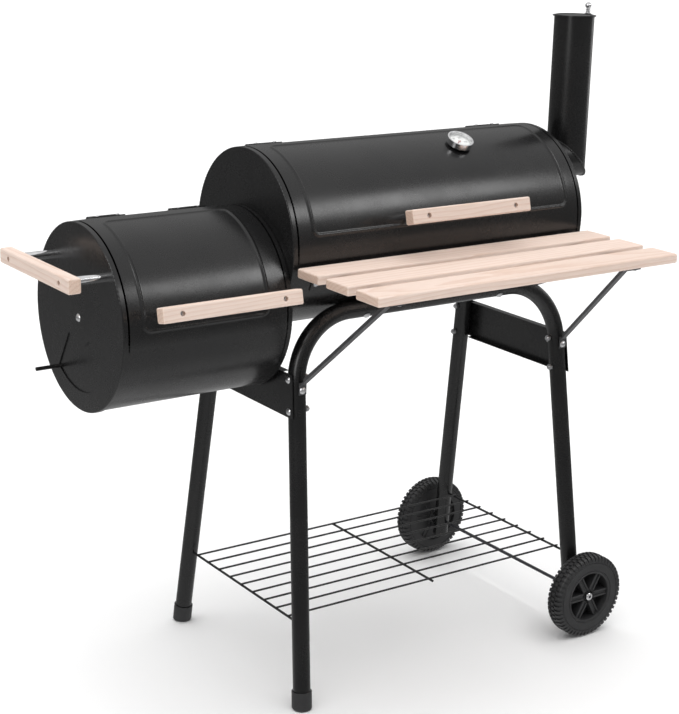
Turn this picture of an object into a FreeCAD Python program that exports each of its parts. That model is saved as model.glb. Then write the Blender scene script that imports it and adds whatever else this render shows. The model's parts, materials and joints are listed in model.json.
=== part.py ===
import FreeCAD, Part
import math
import os

from FreeCAD import Matrix, Placement, Rotation, Vector

# Barrel charcoal grill with a side firebox, on a bent-tube stand with two wheels.
# Millimetres, +Z up, floor at z = 0. While it is drawn, x = 0 is the plane where the firebox
# meets the main barrel and y = 0 is the stand's centre plane; -Y is the front, where the shelf is.
# The last step moves everything so that the origin is the middle of the outline on the floor.

# ---- driving dimensions ----
AXIS_Z = 749.0            # height of the main barrel's axis
BARREL_R = 147.0          # outer radius of the main barrel's end plates
BARREL_L = 598.0          # length of the main barrel
FIREBOX_R = 148.5         # outer radius of the firebox's end plates
FIREBOX_L = 297.0         # length of the firebox
FIREBOX_DROP = 95.0       # how far the firebox's axis lies below the main barrel's axis
FIREBOX_Z = AXIS_Z - FIREBOX_DROP

SHEET = 1.2               # lid and body sheet
PLATE = 1.5               # end plate sheet
FLANGE_W = 8.0            # width of an end plate's folded rim
LID_GAP = 3.0             # gap between an end plate's rim and a lid
LID_LIFT = 0.5            # how far a lid stands outside the end plates' radius
SEAM = 0.1                # gap between pieces that are fastened face to face
BOLT_HOLE_R = 3.1         # hole for an M6 bolt

MAIN_LID_LOW = -6.0       # angle of the main lid's front edge; 0 faces the front, 90 is the top
FIREBOX_LID_LOW = -8.5    # angle of the firebox lid's front edge
LID_HIGH = 113.0          # angle of a lid's rear edge
LID_OVERLAP = 4.5         # angle by which a lid overlaps the body at the front
BODY_BACK = 110.0         # angle of the body's rear top edge, under the lid

HINGE_ANGLE = 115.0       # angle of the hinge pins
HINGE_LEN = 52.0          # length of one hinge along the barrel
KNUCKLE_R = 3.2           # outer radius of a hinge knuckle
PIN_R = 1.6               # hinge pin radius
LEAF_T = 1.6              # hinge leaf sheet
LEAF_REACH = 11.0         # angle a hinge leaf covers on each side of its pin
RIVET_R = 3.2
RIVET_X = 18.0            # distance of a leaf's rivets from the middle of the hinge
RUNNING = 0.05            # radial clearance of a running fit
MAIN_HINGE_X = (68.0, 530.0)
FIREBOX_HINGE_X = (-222.0, -76.0)

TUBE_R = 14.5             # leg tube
TUBE_WALL = 1.5
LEG_X = (0.0, 594.0)      # leg centres on the floor
LEG_SPLAY = 0.042         # inward x per unit of height
LEG_HALF = 198.2          # half the distance between front and rear legs on the floor
LEG_LEAN = 0.1297         # inward y per unit of height
BAR_Z = AXIS_Z - 111.0    # height of the top bars
BEND_R = 107.0            # bend radius of the leg frames, at the tube's centre line
LEFT_FOOT_Z = 3.0         # bottom end of the left legs, inside their caps
RIGHT_FOOT_Z = 50.0       # bottom end of the right legs, just below the axle
PANEL_Z = ((481.0, 552.0), (474.0, 545.0))        # lower and upper edge of the left and right panels
PANEL_BOLT_Z = ((491.0, 542.0), (484.5, 536.0))   # bolt heights of the left and right panels
BARREL_BOLT_X = (159.0, 439.0)    # bolts from the top bars into the main barrel

WHEEL_R = 76.0
WHEEL_W = 32.0
WHEEL_X = 591.0
WHEEL_FACE_Y = 239.4      # outer face of each wheel
WHEEL_RECESS_R = 43.0     # the spoked part, inside the tyre part
WHEEL_SPOKES = 6
WHEEL_LUGS = 36
WHEEL_HUB_R = 13.0
HUB_INSET = 6.0           # how far the hub's end lies behind the wheel's outer face
AXLE_R = 3.0
RACK_Z = 140.0            # centre height of the bottom rack's cross rods
RACK_WIRE_R = 1.7
RACK_ROD_R = 2.1
RACK_WIRES = 9
RACK_HALF = 146.5
RACK_OVERHANG = 3.0       # how far the long wires run past the end rods

SHELF_TOP = AXIS_Z - 19.0
SHELF_X = (2.0, 607.0)
SLAT_T = 15.6
SLAT_W = 58.5
SLAT_GAP = 19.0
SHELF_BACK_Y = -154.0
RAIL_X = ((41.0, 59.0), (516.0, 534.0))  # the two flat rails under the slats
RAIL_T = 1.6
SLAT_SCREW_R = 1.8
STRUT_LOW_Z = 527.0       # height of the bolts at the struts' feet
STRUT_TOP = ((32.0, -352.0), (507.0, -352.0))     # x and y of the struts' upper ends
STRUT_T = 1.6

HANDLE_L = 242.0
HANDLE_H = 23.5
HANDLE_T = 21.5
HANDLE_STANDOFF = 46.0
SIDE_STANDOFF = 53.0      # standoff of the handle on the firebox's end
HANDLE_SCREWS = 178.0     # distance between a handle's two screws
SPACER_R = 7.0
SCREW_R = 2.5
SCREW_HEAD_R = 3.9
COUNTERBORE = 7.0         # depth of the holes that hide the handle screws' heads
MAIN_HANDLE = (303.5, 14.5)       # x and angle
FIREBOX_HANDLE = (-144.0, 12.6)
SIDE_HANDLE_UP = 82.5     # height of the side handle above the firebox's axis

GAUGE = (383.0, 64.0)     # thermometer's x and angle on the main lid
GAUGE_R = 22.5
GAUGE_NECK = 4.0          # how far the gauge's case stands off the lid
GAUGE_CASE = 9.5          # depth of the gauge's case
GAUGE_WALL = 1.5

STACK_X = 688.0
STACK_R = 35.5
STACK_WALL = 1.2
STACK_ELBOW_Z = AXIS_Z + 80.0
STACK_TOP = AXIS_Z + 333.0
CAP_R = 38.5
CAP_PIVOT_R = 43.0
CAP_PIVOT_ANGLE = 14.0

WINDOW_R = (45.0, 117.0)  # inner and outer radius of the air window in the firebox's left end
WINDOW_HUB_R = 13.7       # the window's sides are tangent to this circle
DAMPER_R = 123.0          # outer radius of the damper plate behind the window
DAMPER_HUB_R = 20.0
DAMPER_SIDE = 31.0        # angle between each side of the window or the damper and straight down
DAMPER_GAP = 0.3          # between the end plate and the damper
PEG = (63.0, -92.5)       # damper peg, from the firebox's axis
PEG_R = 3.2
PEG_L = 43.5              # how far the peg stands out of the firebox's end
PIVOT_R = 3.0             # damper pivot screw

COOK_GRATE_Z = AXIS_Z - 34.0
COAL_GRATE_DROP = 84.0    # height of a charcoal grate below its barrel's axis
GRATE_FRAME_R = 3.0
GRATE_ROD_R = 2.1
PASSAGE_R = 42.0          # hole between firebox and main barrel
PASSAGE_Z = AXIS_Z - 75.0

X = Vector(1, 0, 0)
Y = Vector(0, 1, 0)
Z = Vector(0, 0, 1)


# ---- small helpers ----
def box(x, y, z):
    """A box from three (low, high) pairs."""
    return Part.makeBox(x[1] - x[0], y[1] - y[0], z[1] - z[0], Vector(x[0], y[0], z[0]))


def cylinder(radius, start, end):
    """A solid cylinder from one point to another."""
    start = Vector(*start)
    run = Vector(*end) - start
    return Part.makeCylinder(radius, run.Length, start, run)


def ring(outer, inner, start, end):
    """A tube from one point to another."""
    return cylinder(outer, start, end).cut(cylinder(inner, start, end))


def fuse(shapes):
    """One clean solid from overlapping shapes."""
    shapes = list(shapes)
    joined = shapes[0].multiFuse(shapes[1:]) if len(shapes) > 1 else shapes[0]
    return joined.removeSplitter()


def group(shapes):
    """Separate solids kept together."""
    return Part.makeCompound(list(shapes))


def on_barrel(radius, angle, axis_z):
    """y and z of a point at a radius and an angle round a barrel; 0 faces front, 90 is up."""
    turn = math.radians(angle)
    return -radius * math.cos(turn), axis_z + radius * math.sin(turn)


def shell_sector(inner, outer, low, high, x, axis_z):
    """A curved sheet between two radii and two angles, along x."""
    def arc(radius, first, last):
        points = []
        for angle in (first, (first + last) / 2, last):
            y, z = on_barrel(radius, angle, axis_z)
            points.append(Vector(x[0], y, z))
        return Part.Arc(*points).toShape(), points

    out_arc, out_pts = arc(outer, low, high)
    in_arc, in_pts = arc(inner, high, low)
    side_high = Part.makeLine(out_pts[2], in_pts[0])
    side_low = Part.makeLine(in_pts[2], out_pts[0])
    face = Part.Face(Part.Wire([out_arc, side_high, in_arc, side_low]))
    return face.extrude(Vector(x[1] - x[0], 0, 0))


def barrel_frame(x, angle, radius, axis_z):
    """Placement with local X along the barrel and local Z pointing out of its surface."""
    turn = math.radians(angle)
    out = Vector(0, -math.cos(turn), math.sin(turn))
    across = out.cross(X)
    y, z = on_barrel(radius, angle, axis_z)
    matrix = Matrix(X.x, across.x, out.x, x, X.y, across.y, out.y, y,
                    X.z, across.z, out.z, z, 0, 0, 0, 1)
    return Placement(matrix)


def placed(shape, placement):
    moved = shape.copy()
    moved.transformShape(placement.toMatrix())
    return moved


def mirror_y(shape):
    return shape.mirror(Vector(0, 0, 0), Y)


def hex_prism(across, start, end):
    """A hexagonal nut or head, given the distance between its flats."""
    start = Vector(*start)
    run = Vector(*end) - start
    radius = across / math.sqrt(3)
    points = [Vector(radius * math.cos(math.radians(60 * i)), radius * math.sin(math.radians(60 * i)), 0)
              for i in range(7)]
    face = Part.Face(Part.makePolygon(points))
    prism = face.extrude(Vector(0, 0, run.Length))
    return placed(prism, Placement(start, Rotation(Z, run)))


def dome_bolt(base, out, grip, shank=3.0, head=6.0, nut=9.5):
    """A round-headed bolt: base is under the head, out points out of the head."""
    rise = head * 0.55
    ball = (head * head + rise * rise) / (2 * rise)
    dome = Part.makeSphere(ball, Vector(0, 0, rise - ball))
    dome = dome.common(cylinder(head, (0, 0, 0), (0, 0, rise)))
    body = cylinder(shank, (0, 0, -grip - 7.0), (0, 0, 0.2))
    nut_shape = hex_prism(nut, (0, 0, -grip - 4.2), (0, 0, -grip))
    bolt = fuse([dome, body, nut_shape])
    return placed(bolt, Placement(Vector(*base), Rotation(Z, Vector(*out))))


def leg_x(side, z):
    """x of a leg's centre line at a height; side 0 is left, 1 is right."""
    return LEG_X[0] + LEG_SPLAY * z if side == 0 else LEG_X[1] - LEG_SPLAY * z


def leg_y(z):
    """y of the front legs' centre line at a height."""
    return -(LEG_HALF - LEG_LEAN * z)


# ---- stand ----
def leg_path():
    """Centre line of the front leg frame: up the left leg, over, and down the right leg."""
    corners = [Vector(leg_x(0, LEFT_FOOT_Z), leg_y(LEFT_FOOT_Z), LEFT_FOOT_Z),
               Vector(leg_x(0, BAR_Z), leg_y(BAR_Z), BAR_Z),
               Vector(leg_x(1, BAR_Z), leg_y(BAR_Z), BAR_Z),
               Vector(leg_x(1, RIGHT_FOOT_Z), leg_y(RIGHT_FOOT_Z), RIGHT_FOOT_Z)]
    edges = []
    start = corners[0]
    for before, corner, after in zip(corners, corners[1:], corners[2:]):
        back = (before - corner).normalize()
        ahead = (after - corner).normalize()
        half = back.getAngle(ahead) / 2
        reach = BEND_R / math.tan(half)
        first = corner + back * reach
        last = corner + ahead * reach
        middle_out = (back + ahead).normalize()
        middle = corner + middle_out * (BEND_R / math.sin(half) - BEND_R)
        edges.append(Part.makeLine(start, first))
        edges.append(Part.Arc(first, middle, last).toShape())
        start = last
    edges.append(Part.makeLine(start, corners[3]))
    return Part.Wire(edges)


def swept_tube(path, radius):
    start = path.OrderedVertexes[0].Point
    ahead = path.OrderedEdges[0].tangentAt(path.OrderedEdges[0].FirstParameter)
    if (path.OrderedVertexes[1].Point - start).dot(ahead) < 0:
        ahead = ahead * -1
    profile = Part.Wire(Part.makeCircle(radius, start, ahead))
    return path.makePipeShell([profile], True, True)


def bar_point():
    """y and z of the front top bar's centre line."""
    return leg_y(BAR_Z), BAR_Z


def bar_direction():
    """Unit vector from the barrel's axis to the front top bar."""
    y, z = bar_point()
    return Vector(0, y, z - AXIS_Z).normalize()


def rack_rod_x():
    """x of the bottom rack's two end rods, which sit in the legs, and of the middle one."""
    return leg_x(0, RACK_Z), BARREL_L / 2, leg_x(1, RACK_Z)


def leg_bores():
    """Everything that passes through either leg frame, as cutting solids."""
    cuts = []
    for side in (0, 1):
        for z in PANEL_BOLT_Z[side]:
            x = leg_x(side, z)
            cuts.append(cylinder(BOLT_HOLE_R, (x - 30, leg_y(z), z), (x + 30, leg_y(z), z)))
        x = leg_x(side, RACK_Z)
        cuts.append(cylinder(RACK_ROD_R + 0.1, (x, leg_y(RACK_Z) - 10, RACK_Z), (x, 0, RACK_Z)))
    cuts.append(cylinder(AXLE_R + 0.1, (WHEEL_X, -230, WHEEL_R), (WHEEL_X, -150, WHEEL_R)))
    out = bar_direction()
    y, z = bar_point()
    for x in BARREL_BOLT_X:
        cuts.append(Part.makeCylinder(BOLT_HOLE_R, 60, Vector(x, y, z) - out * 30, out))
    return cuts


def leg_frame():
    """One bent tube frame in the front position, with the holes both frames share."""
    path = leg_path()
    tube = swept_tube(path, TUBE_R).cut(swept_tube(path, TUBE_R - TUBE_WALL))
    for cut in leg_bores():
        tube = tube.cut(cut)
    return tube


def front_leg_frame():
    frame = leg_frame()
    z = STRUT_LOW_Z
    for side in (0, 1):
        x = leg_x(side, z)
        frame = frame.cut(cylinder(BOLT_HOLE_R, (x, leg_y(z) - 30, z), (x, leg_y(z) + 30, z)))
    return frame


def rear_leg_frame():
    return mirror_y(leg_frame())


def side_panel(side):
    """Sheet across a pair of legs, outside the tubes, with a folded lip along each long edge."""
    away = -1 if side == 0 else 1

    def outline(x_offset, z):
        half = -leg_y(z) + TUBE_R - 3.5
        x = leg_x(side, z) + away * x_offset
        return Vector(x, -half, z), Vector(x, half, z)

    def slab(near, far):
        low_a, low_b = outline(near, PANEL_Z[side][0])
        high_a, high_b = outline(near, PANEL_Z[side][1])
        face = Part.Face(Part.makePolygon([low_a, low_b, high_b, high_a, low_a]))
        return face.extrude(Vector(away * (far - near), 0, 0))

    near = TUBE_R + 0.3
    sheet = slab(near, near + SHEET)
    lips = []
    for z in PANEL_Z[side]:
        x = leg_x(side, z) + away * near
        clear = -leg_y(z) - TUBE_R - 3.0
        low = z if z == PANEL_Z[side][0] else z - SHEET
        lip_x = sorted((x + away * SHEET, x - away * 11.0))
        lips.append(box(lip_x, (-clear, clear), (low, low + SHEET)))
    panel = fuse([sheet] + lips)
    for z in PANEL_BOLT_Z[side]:
        x = leg_x(side, z)
        for y in (leg_y(z), -leg_y(z)):
            panel = panel.cut(cylinder(BOLT_HOLE_R, (x - 30, y, z), (x + 30, y, z)))
    return panel


def panel_bolts():
    bolts = []
    for side in (0, 1):
        away = -1 if side == 0 else 1
        for z in PANEL_BOLT_Z[side]:
            x = leg_x(side, z) + away * (TUBE_R + 0.3 + SHEET + 0.5)
            for y in (leg_y(z), -leg_y(z)):
                bolts.append(dome_bolt((x, y, z), (away, 0, 0), 2 * TUBE_R + 3.0))
    return group(bolts)


def foot_caps():
    """Rounded plastic caps on the left legs."""
    caps = []
    for mirrored in (False, True):
        top = 30.0
        low_x, low_y = leg_x(0, 0), leg_y(0)
        top_x, top_y = leg_x(0, top), leg_y(top)
        body = cylinder(TUBE_R + 2.2, (low_x, low_y, -6), (top_x, top_y, top))
        body = body.common(box((low_x - 40, low_x + 40), (low_y - 40, low_y + 40), (0, 60)))
        lowest = [edge for edge in body.Edges if edge.BoundBox.ZMax < 0.01]
        body = body.makeFillet(3.0, lowest)
        socket = cylinder(TUBE_R + 0.05, (leg_x(0, LEFT_FOOT_Z), leg_y(LEFT_FOOT_Z), LEFT_FOOT_Z),
                          (leg_x(0, 60), leg_y(60), 60))
        cap = body.cut(socket)
        caps.append(mirror_y(cap) if mirrored else cap)
    return group(caps)


def leg_plugs():
    """Plastic plugs that close the bottom ends of the right legs."""
    plugs = []
    for mirrored in (False, True):
        low = Vector(leg_x(1, RIGHT_FOOT_Z), leg_y(RIGHT_FOOT_Z), RIGHT_FOOT_Z)
        up = (Vector(leg_x(1, 90), leg_y(90), 90) - low).normalize()
        head = Part.makeCylinder(TUBE_R, 3.0, low - up * 3.1, up)
        stem = Part.makeCylinder(TUBE_R - TUBE_WALL - 0.05, 14.0, low - up * 3.1, up)
        plug = fuse([head, stem])
        plugs.append(mirror_y(plug) if mirrored else plug)
    return group(plugs)


def wire_shelf():
    """Bottom rack: long wires welded on three cross rods whose ends sit in the legs."""
    end_reach = -leg_y(RACK_Z) - TUBE_R + 6.0
    parts = []
    left, middle, right = rack_rod_x()
    for x, reach in ((left, end_reach), (middle, RACK_HALF + 6.0), (right, end_reach)):
        parts.append(cylinder(RACK_ROD_R, (x, -reach, RACK_Z), (x, reach, RACK_Z)))
    weld = 0.8
    wire_z = RACK_Z + RACK_ROD_R + RACK_WIRE_R - weld
    for i in range(RACK_WIRES):
        y = -RACK_HALF + 2 * RACK_HALF * i / (RACK_WIRES - 1)
        start = (left - RACK_OVERHANG, y, wire_z)
        parts.append(cylinder(RACK_WIRE_R, start, (right + RACK_OVERHANG, y, wire_z)))
    return fuse(parts)


# ---- wheels ----
def axle():
    reach = WHEEL_FACE_Y - HUB_INSET + 4.0
    return cylinder(AXLE_R, (WHEEL_X, -reach, WHEEL_R), (WHEEL_X, reach, WHEEL_R))


def wheel_washers():
    washers = []
    outside = -leg_y(WHEEL_R) + TUBE_R + 2.2
    inner_face = WHEEL_FACE_Y - WHEEL_W
    for sign in (-1, 1):
        washers.append(ring(9.0, AXLE_R + RUNNING, (WHEEL_X, sign * outside, WHEEL_R),
                            (WHEEL_X, sign * (inner_face - 0.4), WHEEL_R)))
    return group(washers)


def hub_caps():
    """Round push-on rings that keep the wheels on the axle, with the axle's ends inside them."""
    caps = []
    hub_face = WHEEL_FACE_Y - HUB_INSET
    for sign in (-1, 1):
        cap = ring(7.2, AXLE_R, (WHEEL_X, sign * (hub_face + 0.4), WHEEL_R),
                   (WHEEL_X, sign * (hub_face + 5.6), WHEEL_R))
        outer = [edge for edge in cap.Edges if edge.BoundBox.XLength > 14.0
                 and abs(abs(edge.BoundBox.YMin) - (hub_face + 5.6)) < 0.01]
        caps.append(cap.makeFillet(2.0, outer))
    return group(caps)


def front_wheel():
    """Moulded wheel: treaded tyre part, hollow from behind, six twin-ribbed spokes and a hub."""
    outer_y = -WHEEL_FACE_Y
    inner_y = outer_y + WHEEL_W
    recess = WHEEL_RECESS_R

    def disc(radius, low, high):
        return cylinder(radius, (WHEEL_X, low, WHEEL_R), (WHEEL_X, high, WHEEL_R))

    def about_hub(shape, degrees):
        shape.rotate(Vector(0, 0, 0), Y, degrees)
        shape.translate(Vector(WHEEL_X, 0, WHEEL_R))
        return shape

    tyre = disc(WHEEL_R, outer_y, inner_y).cut(disc(recess, outer_y - 1, inner_y + 1))
    shoulder = [edge for edge in tyre.Edges if edge.BoundBox.XLength > 2 * WHEEL_R - 1]
    tyre = tyre.makeFillet(3.0, shoulder)
    pocket = disc(WHEEL_R - 7.0, outer_y + 4, inner_y + 1).cut(disc(recess + 4.0, outer_y, inner_y + 2))
    tyre = tyre.cut(pocket)
    web = disc(recess + 2.0, outer_y + 20, outer_y + 23)
    hub = disc(WHEEL_HUB_R, outer_y + HUB_INSET, inner_y)
    spokes = []
    rib_start = WHEEL_HUB_R - 0.8
    for i in range(WHEEL_SPOKES):
        turn = 360.0 / WHEEL_SPOKES * i
        for across in (-4.6, 4.6):
            rib = box((rib_start, recess + 2.0), (outer_y + 4, outer_y + 21), (across - 1.5, across + 1.5))
            spokes.append(about_hub(rib, turn))
        floor = box((rib_start, recess + 2.0), (outer_y + 9, outer_y + 21), (-4.0, 4.0))
        spokes.append(about_hub(floor, turn))
    wheel = fuse([tyre, web, hub] + spokes)
    notches = []
    step = 360.0 / WHEEL_LUGS
    for i in range(WHEEL_LUGS):
        for low, high, turn in ((outer_y - 1, outer_y + 9, 0.0), (inner_y - 9, inner_y + 1, step / 2)):
            notch = box((WHEEL_R - 2.5, WHEEL_R + 2.0), (low, high), (-2.3, 2.3))
            notches.append(about_hub(notch, step * i + turn))
    wheel = wheel.cut(Part.makeCompound(notches))
    return wheel.cut(disc(AXLE_R + RUNNING, outer_y - 1, inner_y + 1))


def rear_wheel():
    return mirror_y(front_wheel())


# ---- barrels ----
def end_plate(x, inward, radius, axis_z):
    """Pressed round plate with a folded rim; x is its outer face, inward is +1 or -1."""
    disc = cylinder(radius, (x, 0, axis_z), (x + inward * PLATE, 0, axis_z))
    rim = ring(radius, radius - PLATE, (x, 0, axis_z), (x + inward * FLANGE_W, 0, axis_z))
    plate = fuse([disc, rim])
    outer = [edge for edge in plate.Edges
             if abs(edge.BoundBox.XMin - x) < 0.01 and abs(edge.BoundBox.XMax - x) < 0.01
             and edge.BoundBox.ZLength > 2 * radius - 1]
    return plate.makeFillet(1.4, outer)


def passage_cut():
    return cylinder(PASSAGE_R, (-20, 0, PASSAGE_Z), (20, 0, PASSAGE_Z))


def end_bolt_points():
    """Where the two touching end plates are bolted together, round the passage."""
    points = []
    for angle in (25, 155, 230, 310):
        turn = math.radians(angle)
        points.append((58.0 * math.cos(turn), PASSAGE_Z + 58.0 * math.sin(turn)))
    return points


def bolt_holes_x(points, radius=3.1):
    return [cylinder(radius, (-20, y, z), (20, y, z)) for y, z in points]


def main_left_plate():
    plate = end_plate(0.0, 1, BARREL_R, AXIS_Z).cut(passage_cut())
    for hole in bolt_holes_x(end_bolt_points()):
        plate = plate.cut(hole)
    return plate


def main_right_plate():
    plate = end_plate(BARREL_L, -1, BARREL_R, AXIS_Z)
    plate = plate.cut(cylinder(STACK_R + 0.05, (BARREL_L - 20, 0, STACK_ELBOW_Z),
                               (BARREL_L + 20, 0, STACK_ELBOW_Z)))
    for y, z in stack_bolt_points():
        plate = plate.cut(cylinder(2.6, (BARREL_L - 20, y, z), (BARREL_L + 20, y, z)))
    return plate


def body_shell(x, radius, axis_z, front_edge):
    """The fixed lower part of a barrel, inside the rims of its end plates."""
    outer = radius - PLATE - SEAM
    return shell_sector(outer - SHEET, outer, BODY_BACK - 360.0, front_edge, x, axis_z)


def main_shell():
    shell = body_shell((PLATE + SEAM, BARREL_L - PLATE - SEAM), BARREL_R, AXIS_Z,
                       MAIN_LID_LOW + LID_OVERLAP)
    out = bar_direction()
    for x in BARREL_BOLT_X:
        hole = Part.makeCylinder(BOLT_HOLE_R, 40, Vector(x, 0, AXIS_Z) + out * 125, out)
        shell = shell.cut(hole).cut(mirror_y(hole))
    for frame in rail_bolt_frames():
        shell = shell.cut(placed(cylinder(BOLT_HOLE_R, (0, 0, -10), (0, 0, 10)), frame))
    return shell


def firebox_shell():
    x = (-FIREBOX_L + PLATE + SEAM, -PLATE - 2 * SEAM)
    return body_shell(x, FIREBOX_R, FIREBOX_Z, FIREBOX_LID_LOW + LID_OVERLAP)


def barrel_bolts():
    """Bolts up through the top bars into the main barrel."""
    bolts = []
    y, z = bar_point()
    out = bar_direction()
    grip = 2 * TUBE_R + 0.4 + SHEET + 0.5
    for x in BARREL_BOLT_X:
        bolt = dome_bolt(tuple(Vector(x, y, z) + out * (TUBE_R + 0.1)), tuple(out), grip)
        bolts += [bolt, mirror_y(bolt)]
    return group(bolts)


def firebox_left_plate():
    plate = end_plate(-FIREBOX_L, 1, FIREBOX_R, FIREBOX_Z)
    start, end = (-FIREBOX_L - 20, 0, FIREBOX_Z), (-FIREBOX_L + 20, 0, FIREBOX_Z)
    window = damper_outline(WINDOW_R[1], WINDOW_HUB_R, -FIREBOX_L - 10, 20.0)
    plate = plate.cut(window.cut(cylinder(WINDOW_R[0], start, end)))
    plate = plate.cut(cylinder(PIVOT_R + RUNNING, start, end))
    for y in (-HANDLE_SCREWS / 2, HANDLE_SCREWS / 2):
        z = FIREBOX_Z + SIDE_HANDLE_UP
        plate = plate.cut(cylinder(SCREW_R + 0.1, (-FIREBOX_L - 20, y, z), (-FIREBOX_L + 20, y, z)))
    return plate


def firebox_right_plate():
    plate = end_plate(-SEAM, -1, FIREBOX_R, FIREBOX_Z).cut(passage_cut())
    for hole in bolt_holes_x(end_bolt_points()):
        plate = plate.cut(hole)
    return plate


def firebox_bolts():
    grip = 2 * PLATE + SEAM + 0.4
    return group(dome_bolt((PLATE + 0.2, y, z), (1, 0, 0), grip) for y, z in end_bolt_points())


def lid(x, radius, axis_z, low):
    outer = radius + LID_LIFT
    return shell_sector(outer - SHEET, outer, low, LID_HIGH, x, axis_z)


def handle_holes(x, angle, axis_z, radius):
    """Screw holes of a lid handle."""
    frame = barrel_frame(x, angle, radius, axis_z)
    holes = [cylinder(SCREW_R + 0.1, (s * HANDLE_SCREWS / 2, 0, -20), (s * HANDLE_SCREWS / 2, 0, 20))
             for s in (-1, 1)]
    return [placed(hole, frame) for hole in holes]


def main_lid():
    x = (FLANGE_W + LID_GAP, BARREL_L - FLANGE_W - LID_GAP)
    shape = lid(x, BARREL_R, AXIS_Z, MAIN_LID_LOW)
    for hole in handle_holes(MAIN_HANDLE[0], MAIN_HANDLE[1], AXIS_Z, BARREL_R):
        shape = shape.cut(hole)
    gauge = placed(cylinder(4.1, (0, 0, -20), (0, 0, 20)), gauge_frame())
    return shape.cut(gauge)


def firebox_lid():
    x = (-FIREBOX_L + FLANGE_W + LID_GAP, -FLANGE_W - LID_GAP)
    shape = lid(x, FIREBOX_R, FIREBOX_Z, FIREBOX_LID_LOW)
    for hole in handle_holes(FIREBOX_HANDLE[0], FIREBOX_HANDLE[1], FIREBOX_Z, FIREBOX_R):
        shape = shape.cut(hole)
    return shape


# ---- hinges ----
def hinge_pin_point(radius, axis_z):
    """y and z of a lid's hinge pin."""
    return on_barrel(radius + LID_LIFT + KNUCKLE_R + 0.3, HINGE_ANGLE, axis_z)


def knuckle(x, radius, axis_z, bore):
    y, z = hinge_pin_point(radius, axis_z)
    return ring(KNUCKLE_R, bore, (x[0], y, z), (x[1], y, z))


def rivet_pair(centre_x, radius, angle, axis_z):
    """Two rivet heads on a hinge leaf."""
    heads = []
    for dx in (-RIVET_X, RIVET_X):
        head = Part.makeCylinder(RIVET_R, 1.4, Vector(0, 0, 0), Z)
        heads.append(placed(head, barrel_frame(centre_x + dx, angle, radius, axis_z)))
    return heads


def lid_hinge(centre_x, radius, axis_z):
    """Moving leaf: a curved plate on the lid and the middle knuckle."""
    low = radius + LID_LIFT + SEAM
    half = HINGE_LEN / 2
    third = HINGE_LEN / 6 - 0.3
    leaf = shell_sector(low, low + LEAF_T, HINGE_ANGLE - LEAF_REACH, HINGE_ANGLE - 1.9,
                        (centre_x - half, centre_x + half), axis_z)
    tongue = shell_sector(low, low + LEAF_T, HINGE_ANGLE - 3.0, HINGE_ANGLE,
                          (centre_x - third, centre_x + third), axis_z)
    middle = knuckle((centre_x - third, centre_x + third), radius, axis_z, PIN_R + RUNNING)
    pin_y, pin_z = hinge_pin_point(radius, axis_z)
    bore = cylinder(PIN_R + RUNNING, (centre_x - half, pin_y, pin_z), (centre_x + half, pin_y, pin_z))
    rivets = rivet_pair(centre_x, low + LEAF_T - 0.1, HINGE_ANGLE - 7.0, axis_z)
    return fuse([leaf, tongue, middle] + rivets).cut(bore)


def body_hinge(centre_x, radius, axis_z):
    """Fixed leaf: a curved plate on the body, the two outer knuckles and the pin."""
    low = radius - PLATE
    half = HINGE_LEN / 2
    third = HINGE_LEN / 6 + 0.3
    leaf = shell_sector(low, low + LEAF_T, HINGE_ANGLE + 1.0, HINGE_ANGLE + LEAF_REACH + 1.0,
                        (centre_x - half, centre_x + half), axis_z)
    parts = [leaf]
    pin_y, pin_z = hinge_pin_point(radius, axis_z)
    wall_top = radius + LID_LIFT + 2.6
    for start, end in ((-half, -third), (third, half)):
        span = (centre_x + start, centre_x + end)
        parts.append(shell_sector(low, wall_top, HINGE_ANGLE + 0.8, HINGE_ANGLE + 1.5, span, axis_z))
        parts.append(knuckle(span, radius, axis_z, PIN_R - 0.4))
    parts.append(cylinder(PIN_R, (centre_x - half - 1.5, pin_y, pin_z), (centre_x + half + 1.5, pin_y, pin_z)))
    parts += rivet_pair(centre_x, low + LEAF_T - 0.1, HINGE_ANGLE + 7.5, axis_z)
    return fuse(parts)


# ---- handles ----
def handle_wood():
    """Rounded wooden bar, drawn along local X with its inner face on local z = 0."""
    bar = box((-HANDLE_L / 2, HANDLE_L / 2), (-HANDLE_H / 2, HANDLE_H / 2), (0, HANDLE_T))
    bar = bar.makeFillet(3.0, bar.Edges)
    for s in (-1, 1):
        x = s * HANDLE_SCREWS / 2
        bar = bar.cut(cylinder(SCREW_R + 0.1, (x, 0, -5), (x, 0, HANDLE_T + 5)))
        bar = bar.cut(cylinder(SCREW_HEAD_R + 0.3, (x, 0, HANDLE_T - COUNTERBORE), (x, 0, HANDLE_T + 5)))
    return bar


def handle_spacers(standoff=HANDLE_STANDOFF):
    return group(ring(SPACER_R, SCREW_R + 0.6, (s * HANDLE_SCREWS / 2, 0, SEAM),
                      (s * HANDLE_SCREWS / 2, 0, standoff - SEAM)) for s in (-1, 1))


def handle_screws(standoff=HANDLE_STANDOFF):
    """Screws from the counterbores to a nut inside the sheet; local z = 0 is the sheet."""
    screws = []
    seat = standoff + HANDLE_T - COUNTERBORE + 0.2
    for s in (-1, 1):
        x = s * HANDLE_SCREWS / 2
        head = cylinder(SCREW_HEAD_R, (x, 0, seat), (x, 0, seat + 2.4))
        slot = box((x - 0.6, x + 0.6), (-SCREW_HEAD_R - 1, SCREW_HEAD_R + 1), (seat + 1.4, seat + 3.0))
        shank = cylinder(SCREW_R, (x, 0, -9), (x, 0, seat + 0.5))
        nut = hex_prism(8.0, (x, 0, -7.2), (x, 0, -PLATE - 0.6))
        screws.append(fuse([head.cut(slot), shank, nut]))
    return group(screws)


def lid_handle_frame(spot, radius, axis_z, lift=0.0):
    return barrel_frame(spot[0], spot[1], radius + LID_LIFT + lift, axis_z)


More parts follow.
